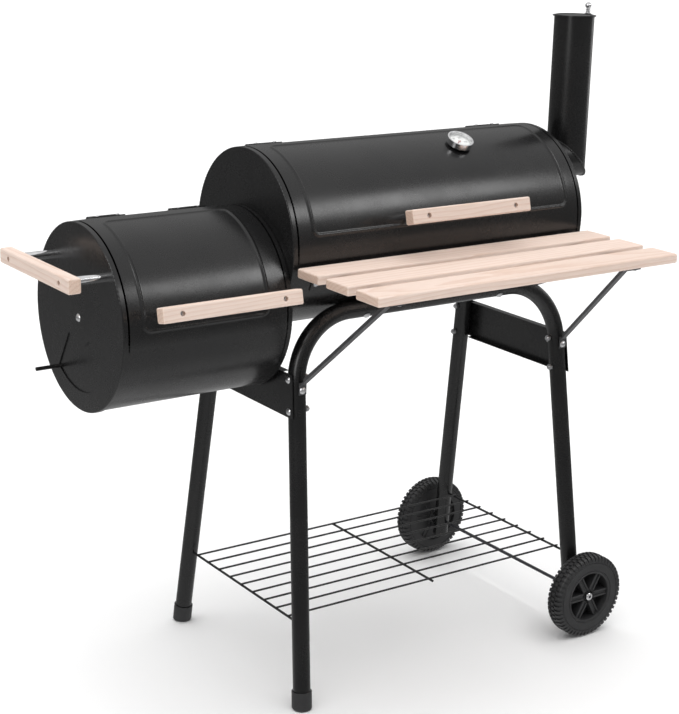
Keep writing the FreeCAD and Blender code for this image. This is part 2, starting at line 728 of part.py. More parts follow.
def side_handle_frame(lift=0.0):
    """Local X runs along the machine's y axis and local Z points out of the firebox's end."""
    spot = Vector(-FIREBOX_L - lift, 0, FIREBOX_Z + SIDE_HANDLE_UP)
    matrix = Matrix(0, 0, -1, spot.x, 1, 0, 0, spot.y, 0, -1, 0, spot.z, 0, 0, 0, 1)
    return Placement(matrix)


# ---- thermometer ----
def gauge_frame(lift=0.0):
    return barrel_frame(GAUGE[0], GAUGE[1], BARREL_R + LID_LIFT + lift, AXIS_Z)


def thermometer_case():
    """Stem through the lid, a nut inside, a short neck and a hollow round case."""
    stem = cylinder(3.9, (0, 0, -32), (0, 0, 2))
    nut = hex_prism(12.0, (0, 0, -5.5), (0, 0, -SHEET - 0.3))
    neck = cylinder(8.0, (0, 0, 0.2), (0, 0, GAUGE_NECK + 1))
    face = GAUGE_NECK + GAUGE_CASE
    cup = cylinder(GAUGE_R, (0, 0, GAUGE_NECK), (0, 0, face))
    cup = cup.cut(cylinder(GAUGE_R - GAUGE_WALL, (0, 0, GAUGE_NECK + 2.0), (0, 0, face - 2.0)))
    cup = cup.cut(cylinder(GAUGE_R - GAUGE_WALL - 1.0, (0, 0, face - 3.0), (0, 0, face + 5.0)))
    return placed(fuse([stem, nut, neck, cup]), gauge_frame())


def thermometer_dial():
    floor = GAUGE_NECK + 2.1
    disc = cylinder(GAUGE_R - GAUGE_WALL - 0.1, (0, 0, floor), (0, 0, floor + 0.9))
    spindle = cylinder(0.9, (0, 0, floor + 0.5), (0, 0, floor + 2.6))
    return placed(fuse([disc, spindle]), gauge_frame())


def thermometer_needle():
    low, high = GAUGE_NECK + 3.5, GAUGE_NECK + 4.1
    hub = ring(2.2, 0.9 + RUNNING, (0, 0, low), (0, 0, high))
    bar = box((-4.5, GAUGE_R - 7.0), (-0.6, 0.6), (low, high)).cut(cylinder(1.5, (0, 0, 0), (0, 0, 40)))
    needle = fuse([hub, bar])
    needle.rotate(Vector(0, 0, 0), Z, 215.0)
    return placed(needle, gauge_frame())


def thermometer_glass():
    top = GAUGE_NECK + GAUGE_CASE - 2.1
    disc = cylinder(GAUGE_R - GAUGE_WALL - 0.1, (0, 0, top - 1.3), (0, 0, top))
    return placed(disc, gauge_frame())


# ---- firebox air damper ----
def damper_outline(radius, hub, x, thickness):
    """Sector-shaped plate hanging below the firebox's axis, its sides tangent to the hub circle."""
    turn = math.radians(DAMPER_SIDE)
    reach = radius * 1.4
    start = Vector(0, hub * math.cos(turn), hub * math.sin(turn))
    end = start + Vector(0, math.sin(turn), -math.cos(turn)) * reach
    points = [Vector(0, -start.y, start.z), Vector(0, -end.y, end.z), end, start]
    wedge = Part.Face(Part.makePolygon(points + [points[0]])).extrude(Vector(thickness, 0, 0))
    disc = Part.makeCylinder(radius, thickness, Vector(0, 0, 0), X)
    plate = fuse([wedge.common(disc), Part.makeCylinder(hub, thickness, Vector(0, 0, 0), X)])
    plate.translate(Vector(x, 0, FIREBOX_Z))
    return plate


def air_damper():
    """Sector plate behind the air window, with a peg that reaches out through the window."""
    face_x = -FIREBOX_L + PLATE + DAMPER_GAP
    plate = damper_outline(DAMPER_R, DAMPER_HUB_R, face_x, PLATE)
    peg_z = FIREBOX_Z + PEG[1]
    peg = cylinder(PEG_R, (face_x + 0.5, PEG[0], peg_z), (-FIREBOX_L - PEG_L, PEG[0], peg_z))
    start, end = (face_x - 5, 0, FIREBOX_Z), (face_x + 5, 0, FIREBOX_Z)
    return fuse([plate, peg]).cut(cylinder(PIVOT_R + RUNNING, start, end))


def damper_screw():
    grip = 2 * PLATE + DAMPER_GAP + 0.5
    return dome_bolt((-FIREBOX_L - 0.1, 0, FIREBOX_Z), (-1, 0, 0), grip, shank=PIVOT_R, head=6.5)


# ---- smokestack ----
def stack_pipe(radius, start_x, top):
    """A pipe that leaves the barrel sideways and turns up through a mitred corner."""
    corner = Vector(STACK_X, 0, STACK_ELBOW_Z)
    level = cylinder(radius, (start_x, 0, STACK_ELBOW_Z), (STACK_X + 120, 0, STACK_ELBOW_Z))
    upright = cylinder(radius, (STACK_X, 0, STACK_ELBOW_Z - 120), (STACK_X, 0, top))
    keep = Part.makeBox(900, 900, 900, Vector(-450, -450, 0))
    keep = placed(keep, Placement(corner, Rotation(Z, Vector(1, 0, 1))))
    level = level.cut(keep)
    upright = upright.common(keep)
    return fuse([level, upright])


def stack_bolt_points():
    points = []
    for angle in (45, 135, 225, 315):
        turn = math.radians(angle)
        points.append((43.0 * math.cos(turn), STACK_ELBOW_Z + 43.0 * math.sin(turn)))
    return points


def cap_pivot_point():
    turn = math.radians(CAP_PIVOT_ANGLE)
    return STACK_X + CAP_PIVOT_R * math.cos(turn), CAP_PIVOT_R * math.sin(turn)


def smokestack():
    outer = stack_pipe(STACK_R, BARREL_L - 6.0, STACK_TOP)
    x, y = cap_pivot_point()
    lug = box((0, CAP_PIVOT_R - STACK_R + 6.5), (-5, 5), (STACK_TOP - 12, STACK_TOP))
    lug.translate(Vector(STACK_R - 0.6, 0, 0))
    lug.rotate(Vector(0, 0, 0), Z, CAP_PIVOT_ANGLE)
    lug.translate(Vector(STACK_X, 0, 0))
    pipe = fuse([outer, lug]).cut(stack_pipe(STACK_R - STACK_WALL, BARREL_L - 10.0, STACK_TOP + 5))
    return pipe.cut(cylinder(2.5, (x, y, STACK_TOP - 20), (x, y, STACK_TOP + 5)))


def smokestack_flange():
    flange = ring(50.0, STACK_R + 0.05, (BARREL_L + SEAM, 0, STACK_ELBOW_Z),
                  (BARREL_L + SEAM + 1.6, 0, STACK_ELBOW_Z))
    for y, z in stack_bolt_points():
        flange = flange.cut(cylinder(2.6, (BARREL_L - 20, y, z), (BARREL_L + 20, y, z)))
    return flange


def smokestack_bolts():
    x = BARREL_L + SEAM + 1.7
    return group(dome_bolt((x, y, z), (1, 0, 0), 3.6, shank=2.5, head=4.8, nut=8.0)
                 for y, z in stack_bolt_points())


def stack_cap():
    """Flat swivelling lid with a small turned-down rim and an ear for its pivot."""
    low = STACK_TOP + 0.4
    x, y = cap_pivot_point()
    disc = cylinder(CAP_R, (STACK_X, 0, low), (STACK_X, 0, low + PLATE))
    ear = cylinder(7.0, (x, y, low), (x, y, low + PLATE))
    bead = ring(CAP_R - 4.0, CAP_R - 7.0, (STACK_X, 0, low + PLATE - 0.2), (STACK_X, 0, low + PLATE + 0.8))
    plate = fuse([disc, ear])
    plate = fuse([plate, bead])
    return plate.cut(cylinder(2.5 + RUNNING, (x, y, low - 5), (x, y, low + 5)))


def cap_pivot():
    x, y = cap_pivot_point()
    shank = cylinder(2.5, (x, y, STACK_TOP - 18), (x, y, STACK_TOP + 20))
    head = hex_prism(8.0, (x, y, STACK_TOP + 18.5), (x, y, STACK_TOP + 22.5))
    return fuse([shank, head])


def cap_spring():
    """Sleeve that stands for the coil spring pressing the cap down."""
    x, y = cap_pivot_point()
    return ring(4.6, 3.2, (x, y, STACK_TOP + PLATE + 0.8), (x, y, STACK_TOP + 18.3))


# ---- front shelf ----
def slat(index):
    """Rounded wooden slat; 0 is the one next to the barrel."""
    back = slat_back(index)
    wood = box(SHELF_X, (back - SLAT_W, back), (SHELF_TOP - SLAT_T, SHELF_TOP))
    wood = wood.makeFillet(3.5, wood.Edges)
    bottom = SHELF_TOP - SLAT_T
    for x, y in slat_screws(index):
        wood = wood.cut(cylinder(SLAT_SCREW_R, (x, y, bottom - 5), (x, y, bottom + 11)))
    return wood


def slat_back(index):
    """y of a slat's rear edge."""
    return SHELF_BACK_Y - index * (SLAT_W + SLAT_GAP)


def slat_screws(index):
    """x and y of the four screws of a slat, two from each rail."""
    middle = slat_back(index) - SLAT_W / 2
    return [((low + high) / 2, middle + dy) for low, high in RAIL_X for dy in (-15.0, 15.0)]


def rail_foot_angles():
    """Angles round the main barrel between which the rails' folded feet lie on its body."""
    return -26.0, -13.6


def rail_bolt_frames():
    """Placements of the bolts through the rails' feet, local Z pointing out of the barrel."""
    return [barrel_frame((low + high) / 2, -21.5, BARREL_R - PLATE, AXIS_Z) for low, high in RAIL_X]


def rail(side):
    """Flat steel rail under the slats whose rear end is folded down onto the barrel's body."""
    top = SHELF_TOP - SLAT_T - SEAM
    body = BARREL_R - PLATE
    front = slat_back(2) - SLAT_W + 8.0
    flat = box(RAIL_X[side], (front, -100.0), (top - RAIL_T, top))
    flat = flat.cut(cylinder(body, (RAIL_X[side][0] - 5, 0, AXIS_Z), (RAIL_X[side][1] + 5, 0, AXIS_Z)))
    low, high = rail_foot_angles()
    foot = shell_sector(body, body + RAIL_T, low, high, RAIL_X[side], AXIS_Z)
    joined = fuse([flat, foot])
    joined = joined.cut(placed(cylinder(BOLT_HOLE_R, (0, 0, -10), (0, 0, 10)), rail_bolt_frames()[side]))
    for index in range(3):
        for x, y in slat_screws(index):
            joined = joined.cut(cylinder(SLAT_SCREW_R + 0.1, (x, y, top - 10), (x, y, top + 5)))
    return joined


def shelf_rails():
    return group([rail(0), rail(1)])


def rail_bolts():
    bolts = []
    for frame in rail_bolt_frames():
        bolt = dome_bolt((0, 0, RAIL_T + 0.1), (0, 0, 1), RAIL_T + SHEET + 0.4, shank=2.5, head=5.0, nut=8.0)
        bolts.append(placed(bolt, frame))
    return group(bolts)


def strut_screws():
    """The two front slat screws that also hold the struts."""
    return [slat_screws(2)[0], slat_screws(2)[2]]


def shelf_screws():
    rail_bottom = SHELF_TOP - SLAT_T - SEAM - RAIL_T
    screws = []
    for index in range(3):
        for spot in slat_screws(index):
            x, y = spot
            under = rail_bottom - STRUT_T - SEAM if spot in strut_screws() else rail_bottom
            head = cylinder(3.6, (x, y, under - 2.2), (x, y, under - 0.1))
            shank = cylinder(SLAT_SCREW_R, (x, y, under - 1.0), (x, y, rail_bottom + 12.0))
            screws.append(fuse([head, shank]))
    return group(screws)


def strut(side):
    """Folded steel brace from the leg's front up to a tab under the rail's front end."""
    z = STRUT_LOW_Z
    tab_top = SHELF_TOP - SLAT_T - 2 * SEAM - RAIL_T
    low = Vector(leg_x(side, z), leg_y(z) - TUBE_R - 3.2, z)
    high = Vector(STRUT_TOP[side][0], STRUT_TOP[side][1], tab_top - STRUT_T)
    start = low + Vector(0, 0, 10)
    run = high - start
    along = Vector(run).normalize()
    across = Vector(X - along * X.dot(along)).normalize()
    normal = along.cross(across)

    def bar(x, n, begin):
        matrix = Matrix(across.x, normal.x, along.x, start.x, across.y, normal.y, along.y, start.y,
                        across.z, normal.z, along.z, start.z, 0, 0, 0, 1)
        piece = box(x, n, (begin, run.Length + 1.0))
        return placed(piece, Placement(matrix))

    web = bar((-5.0, 5.0), (-STRUT_T / 2, STRUT_T / 2), -3.0)
    wing = bar((-5.0, -5.0 + STRUT_T), (-STRUT_T / 2, 4.5), 12.0)
    ceiling = box((high.x - 40, high.x + 40), (high.y - 40, high.y + 40), (tab_top, tab_top + 40))
    foot = box((low.x - 7, low.x + 7), (low.y, low.y + 1.8), (z - 7, z + 13))
    screw_x, screw_y = strut_screws()[side]
    tab = box((high.x - 5, screw_x + 7), (screw_y - 7, screw_y + 7), (tab_top - STRUT_T, tab_top))
    joined = fuse([web, wing, foot, tab]).cut(ceiling)
    joined = joined.cut(cylinder(SLAT_SCREW_R + 0.1, (screw_x, screw_y, z), (screw_x, screw_y, SHELF_TOP)))
    return joined.cut(cylinder(BOLT_HOLE_R, (low.x, low.y - 30, z), (low.x, low.y + 30, z)))


def shelf_struts():
    return group([strut(0), strut(1)])


def strut_bolts():
    """Bolts through the legs at the struts' feet."""
    z = STRUT_LOW_Z
    return group(dome_bolt((leg_x(side, z), leg_y(z) - TUBE_R - 3.4, z), (0, -1, 0), 2 * TUBE_R + 4.4)
                 for side in (0, 1))


# ---- grates inside ----
def rod_grate(x, half_width, z, pitch):
    """Rods across the barrel welded on a wire frame and two long wires."""
    parts = []
    low, high = x
    rod, frame = GRATE_ROD_R, GRATE_FRAME_R
    for y in (-half_width, half_width):
        parts.append(cylinder(frame, (low, y, z), (high, y, z)))
    for y in (-half_width / 3, half_width / 3):
        parts.append(cylinder(frame, (low - 1.5, y, z), (high + 1.5, y, z)))
    for end in x:
        parts.append(cylinder(frame * 0.85, (end, -half_width, z), (end, half_width, z)))
    for y in (-half_width, half_width):
        for end in x:
            parts.append(Part.makeSphere(frame + 0.25, Vector(end, y, z)))
    count = int(round((high - low) / pitch))
    for i in range(1, count):
        across = low + (high - low) * i / count
        rise = frame + rod - 0.8
        reach = half_width + 1.2
        parts.append(cylinder(rod, (across, -reach, z + rise), (across, reach, z + rise)))
    return fuse(parts)


def cooking_grate():
    return rod_grate((16.0, BARREL_L - 16.0), 130.0, COOK_GRATE_Z, 21.0)


def cradled_half_width(radius):
    """Half width of a charcoal grate whose long edges lie on the curved shell."""
    inner = radius - PLATE - SEAM - SHEET
    return math.sqrt((inner - GRATE_FRAME_R - 0.6) ** 2 - COAL_GRATE_DROP ** 2)


def charcoal_grate():
    half = cradled_half_width(BARREL_R)
    return rod_grate((20.0, BARREL_L - 20.0), half, AXIS_Z - COAL_GRATE_DROP, 18.0)


def firebox_grate():
    half = cradled_half_width(FIREBOX_R)
    return rod_grate((-FIREBOX_L + 18.0, -18.0), half, FIREBOX_Z - COAL_GRATE_DROP, 19.0)


def grate_brackets():
    """Small riveted ledges that carry the cooking grate."""
    inner = BARREL_R - PLATE - SEAM - SHEET
    ledge_top = COOK_GRATE_Z - 3.1
    brackets = []
    for x in (100.0, BARREL_L / 2, 480.0):
        span = (x - 12, x + 12)
        strip = shell_sector(inner - 1.6 - SEAM, inner - SEAM, -24.0, -14.2, span, AXIS_Z)
        ledge = box(span, (-139.5, -122.0), (ledge_top - 1.6, ledge_top))
        limit = cylinder(inner - SEAM, (x - 20, 0, AXIS_Z), (x + 20, 0, AXIS_Z))
        bracket = fuse([strip, ledge]).common(limit)
        brackets += [bracket, mirror_y(bracket)]
    return group(brackets)


# ---- all pieces ----
def build():
    main_spacers = lid_handle_frame(MAIN_HANDLE, BARREL_R, AXIS_Z)
    main_wood = lid_handle_frame(MAIN_HANDLE, BARREL_R, AXIS_Z, HANDLE_STANDOFF)
    fire_spacers = lid_handle_frame(FIREBOX_HANDLE, FIREBOX_R, FIREBOX_Z)
    fire_wood = lid_handle_frame(FIREBOX_HANDLE, FIREBOX_R, FIREBOX_Z, HANDLE_STANDOFF)
    main_hinges = [(x, BARREL_R, AXIS_Z) for x in MAIN_HINGE_X]
    fire_hinges = [(x, FIREBOX_R, FIREBOX_Z) for x in FIREBOX_HINGE_X]
    return {
        "front_leg_frame": front_leg_frame(),
        "rear_leg_frame": rear_leg_frame(),
        "left_side_panel": side_panel(0),
        "right_side_panel": side_panel(1),
        "panel_bolts": panel_bolts(),
        "foot_caps": foot_caps(),
        "leg_plugs": leg_plugs(),
        "wire_shelf": wire_shelf(),
        "axle": axle(),
        "wheel_washers": wheel_washers(),
        "hub_caps": hub_caps(),
        "front_wheel": front_wheel(),
        "rear_wheel": rear_wheel(),
        "main_shell": main_shell(),
        "main_left_plate": main_left_plate(),
        "main_right_plate": main_right_plate(),
        "barrel_bolts": barrel_bolts(),
        "cooking_grate": cooking_grate(),
        "charcoal_grate": charcoal_grate(),
        "grate_brackets": grate_brackets(),
        "main_lid": main_lid(),
        "main_lid_hinges": group(lid_hinge(*spot) for spot in main_hinges),
        "main_body_hinges": group(body_hinge(*spot) for spot in main_hinges),
        "main_handle": placed(handle_wood(), main_wood),
        "main_handle_spacers": placed(handle_spacers(), main_spacers),
        "main_handle_screws": placed(handle_screws(), main_spacers),
        "thermometer_case": thermometer_case(),
        "thermometer_dial": thermometer_dial(),
        "thermometer_needle": thermometer_needle(),
        "thermometer_glass": thermometer_glass(),
        "firebox_shell": firebox_shell(),
        "firebox_left_plate": firebox_left_plate(),
        "firebox_right_plate": firebox_right_plate(),
        "firebox_bolts": firebox_bolts(),
        "firebox_lid": firebox_lid(),
        "firebox_lid_hinges": group(lid_hinge(*spot) for spot in fire_hinges),
        "firebox_body_hinges": group(body_hinge(*spot) for spot in fire_hinges),
        "firebox_handle": placed(handle_wood(), fire_wood),
        "firebox_handle_spacers": placed(handle_spacers(), fire_spacers),
        "firebox_handle_screws": placed(handle_screws(), fire_spacers),
        "firebox_grate": firebox_grate(),
        "side_handle": placed(handle_wood(), side_handle_frame(SIDE_STANDOFF)),
        "side_handle_spacers": placed(handle_spacers(SIDE_STANDOFF), side_handle_frame()),
        "side_handle_screws": placed(handle_screws(SIDE_STANDOFF), side_handle_frame()),
        "air_damper": air_damper(),
        "damper_screw": damper_screw(),
        "smokestack": smokestack(),
        "smokestack_flange": smokestack_flange(),
        "smokestack_bolts": smokestack_bolts(),
        "stack_cap": stack_cap(),
        "cap_pivot": cap_pivot(),
        "cap_spring": cap_spring(),
        "shelf_back_slat": slat(0),
        "shelf_middle_slat": slat(1),
        "shelf_front_slat": slat(2),
        "shelf_rails": shelf_rails(),
        "rail_bolts": rail_bolts(),
        "shelf_struts": shelf_struts(),
        "shelf_screws": shelf_screws(),
        "strut_bolts": strut_bolts(),
    }


def centre_shift(shapes):
    """Move that puts the middle of the outline on the floor at the origin."""
    whole = FreeCAD.BoundBox()
    for shape in shapes.values():
        whole.add(shape.optimalBoundingBox(False, False))
    return Vector(-whole.Center.x, -whole.Center.y, -whole.ZMin)


def main():
    os.makedirs("parts", exist_ok=True)
    shapes = build()
    shift = centre_shift(shapes)
    for name, shape in shapes.items():
        shape.translate(shift)
        shape.exportStep("parts/" + name + ".step")
        state = "ok" if shape.isValid() else "INVALID"
        print(name, len(shape.Solids), "solids", round(shape.Volume / 1000.0, 2), "cm3", state)
    print("shift", round(shift.x, 3), round(shift.y, 3), round(shift.z, 3))


main()
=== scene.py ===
import json
import math

import bmesh
import bpy
from mathutils import Matrix, Quaternion, Vector


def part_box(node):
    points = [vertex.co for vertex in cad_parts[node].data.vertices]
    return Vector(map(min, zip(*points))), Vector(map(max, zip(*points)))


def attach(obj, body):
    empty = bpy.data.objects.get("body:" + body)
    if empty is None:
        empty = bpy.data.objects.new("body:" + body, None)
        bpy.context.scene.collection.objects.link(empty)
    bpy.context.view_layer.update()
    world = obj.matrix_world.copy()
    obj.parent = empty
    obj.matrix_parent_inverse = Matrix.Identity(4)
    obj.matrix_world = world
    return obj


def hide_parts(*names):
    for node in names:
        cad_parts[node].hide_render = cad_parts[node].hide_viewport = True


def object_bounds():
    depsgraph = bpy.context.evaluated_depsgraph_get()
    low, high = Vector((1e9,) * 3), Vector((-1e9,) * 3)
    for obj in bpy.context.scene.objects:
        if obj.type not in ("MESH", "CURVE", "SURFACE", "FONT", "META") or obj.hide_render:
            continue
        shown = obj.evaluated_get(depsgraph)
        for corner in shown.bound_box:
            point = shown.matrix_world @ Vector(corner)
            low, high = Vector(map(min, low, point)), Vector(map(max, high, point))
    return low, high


# Looks of a barrel charcoal grill with a side firebox, a wooden front shelf and two wheels.
# Metres, +Z up, floor at z = 0, -Y is the front. Angles round a barrel: 0 faces the front, 90 is up.

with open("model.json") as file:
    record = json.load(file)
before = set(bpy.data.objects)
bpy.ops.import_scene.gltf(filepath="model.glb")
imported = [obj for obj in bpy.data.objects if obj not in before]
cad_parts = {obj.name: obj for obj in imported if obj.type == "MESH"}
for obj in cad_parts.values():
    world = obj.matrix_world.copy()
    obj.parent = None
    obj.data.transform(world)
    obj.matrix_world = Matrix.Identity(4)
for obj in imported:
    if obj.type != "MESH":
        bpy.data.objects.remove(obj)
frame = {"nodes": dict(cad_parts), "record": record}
cad_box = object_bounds()

# ---- camera ----
CAMERA_PLACE = Vector((-1.5705, -2.1690, 1.3175))
CAMERA_AZIMUTH = -33.29
CAMERA_ELEVATION = 15.14
CAMERA_ROLL = 1.065
CAMERA_LENS = 83.86
CAMERA_SHIFT = (0.0796, -0.0466)

# ---- lids ----
SHEET = 0.0012            # lid sheet
LID_LIFT = 0.0005         # a lid stands this far outside its end plates
MAIN_LID_LOW = -6.0       # angle of the lid's front edge
FIREBOX_LID_LOW = -8.5
LID_HIGH = 113.0          # angle of a lid's rear edge
LID_EASE = 0.0003         # how much the sheet's outer edges are rounded down
MAIN_BEAD_X = (0.038, 0.562)      # embossed outline, from the barrel's left end
MAIN_BEAD_ANGLES = (10.5, 86.0)
FIREBOX_BEAD_X = (0.035, 0.252)
FIREBOX_BEAD_ANGLES = (3.0, 85.0)
BEAD_CORNER = 0.012
BEAD_HALF_WIDTH = 0.0036
BEAD_HEIGHT = 0.0018
LID_STEP_ALONG = 0.03     # mesh steps of the plain sheet
LID_STEP_ROUND = 0.0045
BEAD_STEP = 0.0011        # mesh step across the embossed line
BEAD_REACH = 0.018        # the fine mesh runs this far past a mark, and starts half as far before it
BEAD_MARK_SHIFT = (0.004, -0.008)         # from the outline's two lines to the marks of their stretches

# ---- wheels ----
TYRE_LUGS = 52
NOTCH_SHARE = 0.42        # share of the lug spacing that is notch
NOTCH_SLOPE = 0.005       # half the width of a notch's steep side, in the same measure
NOTCH_DEPTH = 0.0024
MIDDLE_ROW_DEPTH = 0.0122         # depth from either side where the middle row of lugs starts
SIDE_ROW_DEPTH = 0.0104           # depth from either side where the side rows end
SIDE_NOTCH_REACH = 0.0085         # how far the side rows' notches run down the tyre's side
TYRE_RECESS_R = 0.0435    # outer side
TYRE_BACK_RECESS_R = 0.0475
WEB_DEPTH = (0.0235, 0.0260)      # the thin floor between the spokes
SPOKES = 6
HUB_R = 0.013
AXLE_BORE_R = 0.00305
RIB_OFFSET = 0.0046       # from a spoke's middle line to the middle of each rib
RIB_HALF = 0.0016         # half width of a rib
RIB_DEPTH = 0.0040        # how deep a rib's top lies
BACK_RIB_HALF = 0.0014
BACK_RIB_DEPTH = 0.0045
SPOKE_FLOOR_HALF = 0.0034
SPOKE_FLOOR_DEPTH = 0.0064
SPOKE_EASE = 0.0007

# ---- small pieces ----
HINGE_LENGTH = 0.052
RIVET_ANGLE = 108.0       # on a lid's hinge leaf
RIVET_INSET = 0.008       # from the end of a hinge leaf
RIVET_SEAT = 0.0030       # height of a leaf's rivet heads above the lid
SPRING_TURNS = 5.0
SPRING_STEPS = 20         # mesh steps in one turn
SPRING_WIRE_R = 0.0009
SCREW_SHANK_R = 0.0025    # pivot screw of the chimney's cap
SCREW_WASHER_R = 0.0062
SCREW_BALL_R = 0.0056
WELD_R = 0.0016
WELD_RIPPLE = 0.00035
WELD_RIPPLES = 70
WELD_STEPS = 220
DIAL_DEPTH = 0.00370      # from the middle of the cover glass to the dial
DIAL_START, DIAL_END = 225.0, -45.0       # angles of the scale's first and last mark
DIAL_MARKS = 30
DIAL_ARC_STEPS = 60
DIAL_MARK_T = 0.00012     # thickness of a printed mark
DIGIT_SIZE = 0.0042

# ---- wood grain ----
GRAIN_TILT = 1.6          # degrees between the heart of the tree and the board's length
HEART_DROP = 0.045        # how far the growth rings' centre lies below a board


# ---- mesh helpers ----
def new_object(name, mesh, body, smooth_angle=None):
    """Links a mesh as a piece that rides on a body."""
    thing = bpy.data.objects.new(name, mesh)
    bpy.context.scene.collection.objects.link(thing)
    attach(thing, body)
    if smooth_angle is not None:
        smooth(mesh, smooth_angle)
    return thing


def smooth(mesh, degrees):
    """Smooth shading with sharp edges where faces meet at more than the given angle."""
    mesh.polygons.foreach_set("use_smooth", [True] * len(mesh.polygons))
    mesh.set_sharp_from_angle(angle=math.radians(degrees))


def mesh_from(name, points, faces):
    mesh = bpy.data.meshes.new(name)
    mesh.from_pydata([tuple(p) for p in points], [], faces)
    mesh.update()
    return mesh


def lathe(profile, steps, place, closed_profile=True):
    """Points and faces of a profile turned about an axis; place(radius, along, turn) gives a point.

    An open profile starts and ends on the axis.
    """
    points = []
    for i in range(steps):
        turn = 2 * math.pi * i / steps
        for radius, along in profile:
            points.append(place(radius, along, turn))
    count = len(profile)
    last = count if closed_profile else count - 1
    faces = []
    for i in range(steps):
        j = (i + 1) % steps
        for k in range(last):
            m = (k + 1) % count
            faces.append((i * count + k, i * count + m, j * count + m, j * count + k))
    return points, faces


def tube_along(centres, radius, sides, closed):
    """A round tube through points; its ends are capped unless it is a closed loop."""
    points = []
    count = len(centres)
    for i, centre in enumerate(centres):
        ahead = centres[(i + 1) % count] if closed or i + 1 < count else centre
        behind = centres[i - 1] if closed or i > 0 else centre
        run = (ahead - behind).normalized()
        side = run.cross(Vector((0, 0, 1)) if abs(run.z) < 0.9 else Vector((1, 0, 0))).normalized()
        other = run.cross(side)
        thick = radius(i) if callable(radius) else radius
        for s in range(sides):
            turn = 2 * math.pi * s / sides
            points.append(centre + side * thick * math.cos(turn) + other * thick * math.sin(turn))
    faces = []
    for i in range(count if closed else count - 1):
        j = (i + 1) % count
        for s in range(sides):
            t = (s + 1) % sides
            faces.append((i * sides + s, i * sides + t, j * sides + t, j * sides + s))
    if not closed:
        faces.append(tuple(range(sides - 1, -1, -1)))
        faces.append(tuple((count - 1) * sides + s for s in range(sides)))
    return points, faces


def joined(parts):
    """One list of points and faces from several."""
    points, faces = [], []
    for part_points, part_faces in parts:
        start = len(points)
        points += list(part_points)
        faces += [tuple(start + i for i in face) for face in part_faces]
    return points, faces


def fix_normals(mesh):
    """Turns every face outward."""
    work = bmesh.new()
    work.from_mesh(mesh)
    bmesh.ops.recalc_face_normals(work, faces=work.faces)
    work.to_mesh(mesh)
    work.free()


def merge_points(mesh, distance):
    """Joins points that lie closer together than distance."""
    work = bmesh.new()
    work.from_mesh(mesh)
    bmesh.ops.remove_doubles(work, verts=work.verts, dist=distance)
    work.to_mesh(mesh)
    work.free()


def frame_body(node):
    """The body a CAD node rides on."""
    for body, nodes in frame["record"]["behaviour"]["bodies"].items():
        if node in nodes:
            return body
    return "root"


# ---- material helpers ----
class Finish:
    """A node material with short ways to add textures."""

    def __init__(self, name, color, roughness, metallic=0.0):
        self.material = bpy.data.materials.new(name)
        self.material.use_nodes = True
        self.nodes = self.material.node_tree.nodes
        self.links = self.material.node_tree.links
        self.shader = self.nodes["Principled BSDF"]
        self.shader.inputs["Base Color"].default_value = (*color, 1)
        self.shader.inputs["Roughness"].default_value = roughness
        self.shader.inputs["Metallic"].default_value = metallic
        self.place = self.nodes.new("ShaderNodeTexCoord").outputs["Object"]
        self.bumps = None

    def set(self, **values):
        for name, value in values.items():
            self.shader.inputs[name.replace("_", " ")].default_value = value
        return self

    def mapped(self, where, scale=(1, 1, 1), rotation=(0, 0, 0), location=(0, 0, 0)):
        """Coordinates scaled, turned and shifted."""
        node = self.nodes.new("ShaderNodeMapping")
        node.inputs["Scale"].default_value = scale
        node.inputs["Rotation"].default_value = rotation
        node.inputs["Location"].default_value = location
        self.links.new(where, node.inputs["Vector"])
        return node.outputs["Vector"]

    def noise(self, scale, detail=3.0, rough=0.5, where=None):
        node = self.nodes.new("ShaderNodeTexNoise")
        node.inputs["Scale"].default_value = scale
        node.inputs["Detail"].default_value = detail
        node.inputs["Roughness"].default_value = rough
        self.links.new(where or self.place, node.inputs["Vector"])
        return node.outputs["Fac"]

    def ramp(self, value, stops):
        node = self.nodes.new("ShaderNodeValToRGB")
        self.links.new(value, node.inputs["Fac"])
        marks = node.color_ramp.elements
        while len(marks) < len(stops):
            marks.new(0.5)
        for mark, (at, color) in zip(marks, stops):
            mark.position = at
            mark.color = (*color, 1)
        return node.outputs["Color"]

    def span(self, value, low, high, start=0.0, end=1.0):
        """Maps a value from one range to another."""
        node = self.nodes.new("ShaderNodeMapRange")
        self.links.new(value, node.inputs["Value"])
        node.inputs["From Min"].default_value = start
        node.inputs["From Max"].default_value = end
        node.inputs["To Min"].default_value = low
        node.inputs["To Max"].default_value = high
        return node.outputs["Result"]

    def mix(self, amount, one, other, blend="MIX"):
        node = self.nodes.new("ShaderNodeMix")
        node.data_type = "RGBA"
        node.blend_type = blend
        for socket, value in (("Factor_Float", amount), ("A_Color", one), ("B_Color", other)):
            target = next(s for s in node.inputs if s.identifier == socket)
            if isinstance(value, bpy.types.NodeSocket):
                self.links.new(value, target)
            else:
                target.default_value = value if socket == "Factor_Float" else (*value, 1)
        return next(s for s in node.outputs if s.identifier == "Result_Color")

    def math(self, operation, one, other):
        node = self.nodes.new("ShaderNodeMath")
        node.operation = operation
        for i, value in enumerate((one, other)):
            if isinstance(value, bpy.types.NodeSocket):
                self.links.new(value, node.inputs[i])
            else:
                node.inputs[i].default_value = value
        return node.outputs["Value"]

    def bump(self, height, distance, strength=1.0):
        """Adds a bump on top of the ones already there."""
        node = self.nodes.new("ShaderNodeBump")
        node.inputs["Distance"].default_value = distance
        node.inputs["Strength"].default_value = strength
        self.links.new(height, node.inputs["Height"])
        if self.bumps:
            self.links.new(self.bumps, node.inputs["Normal"])
        self.bumps = node.outputs["Normal"]
        self.links.new(self.bumps, self.shader.inputs["Normal"])
        return self

    def color(self, socket):
        self.links.new(socket, self.shader.inputs["Base Color"])
        return self

    def roughness(self, socket):
        self.links.new(socket, self.shader.inputs["Roughness"])
        return self


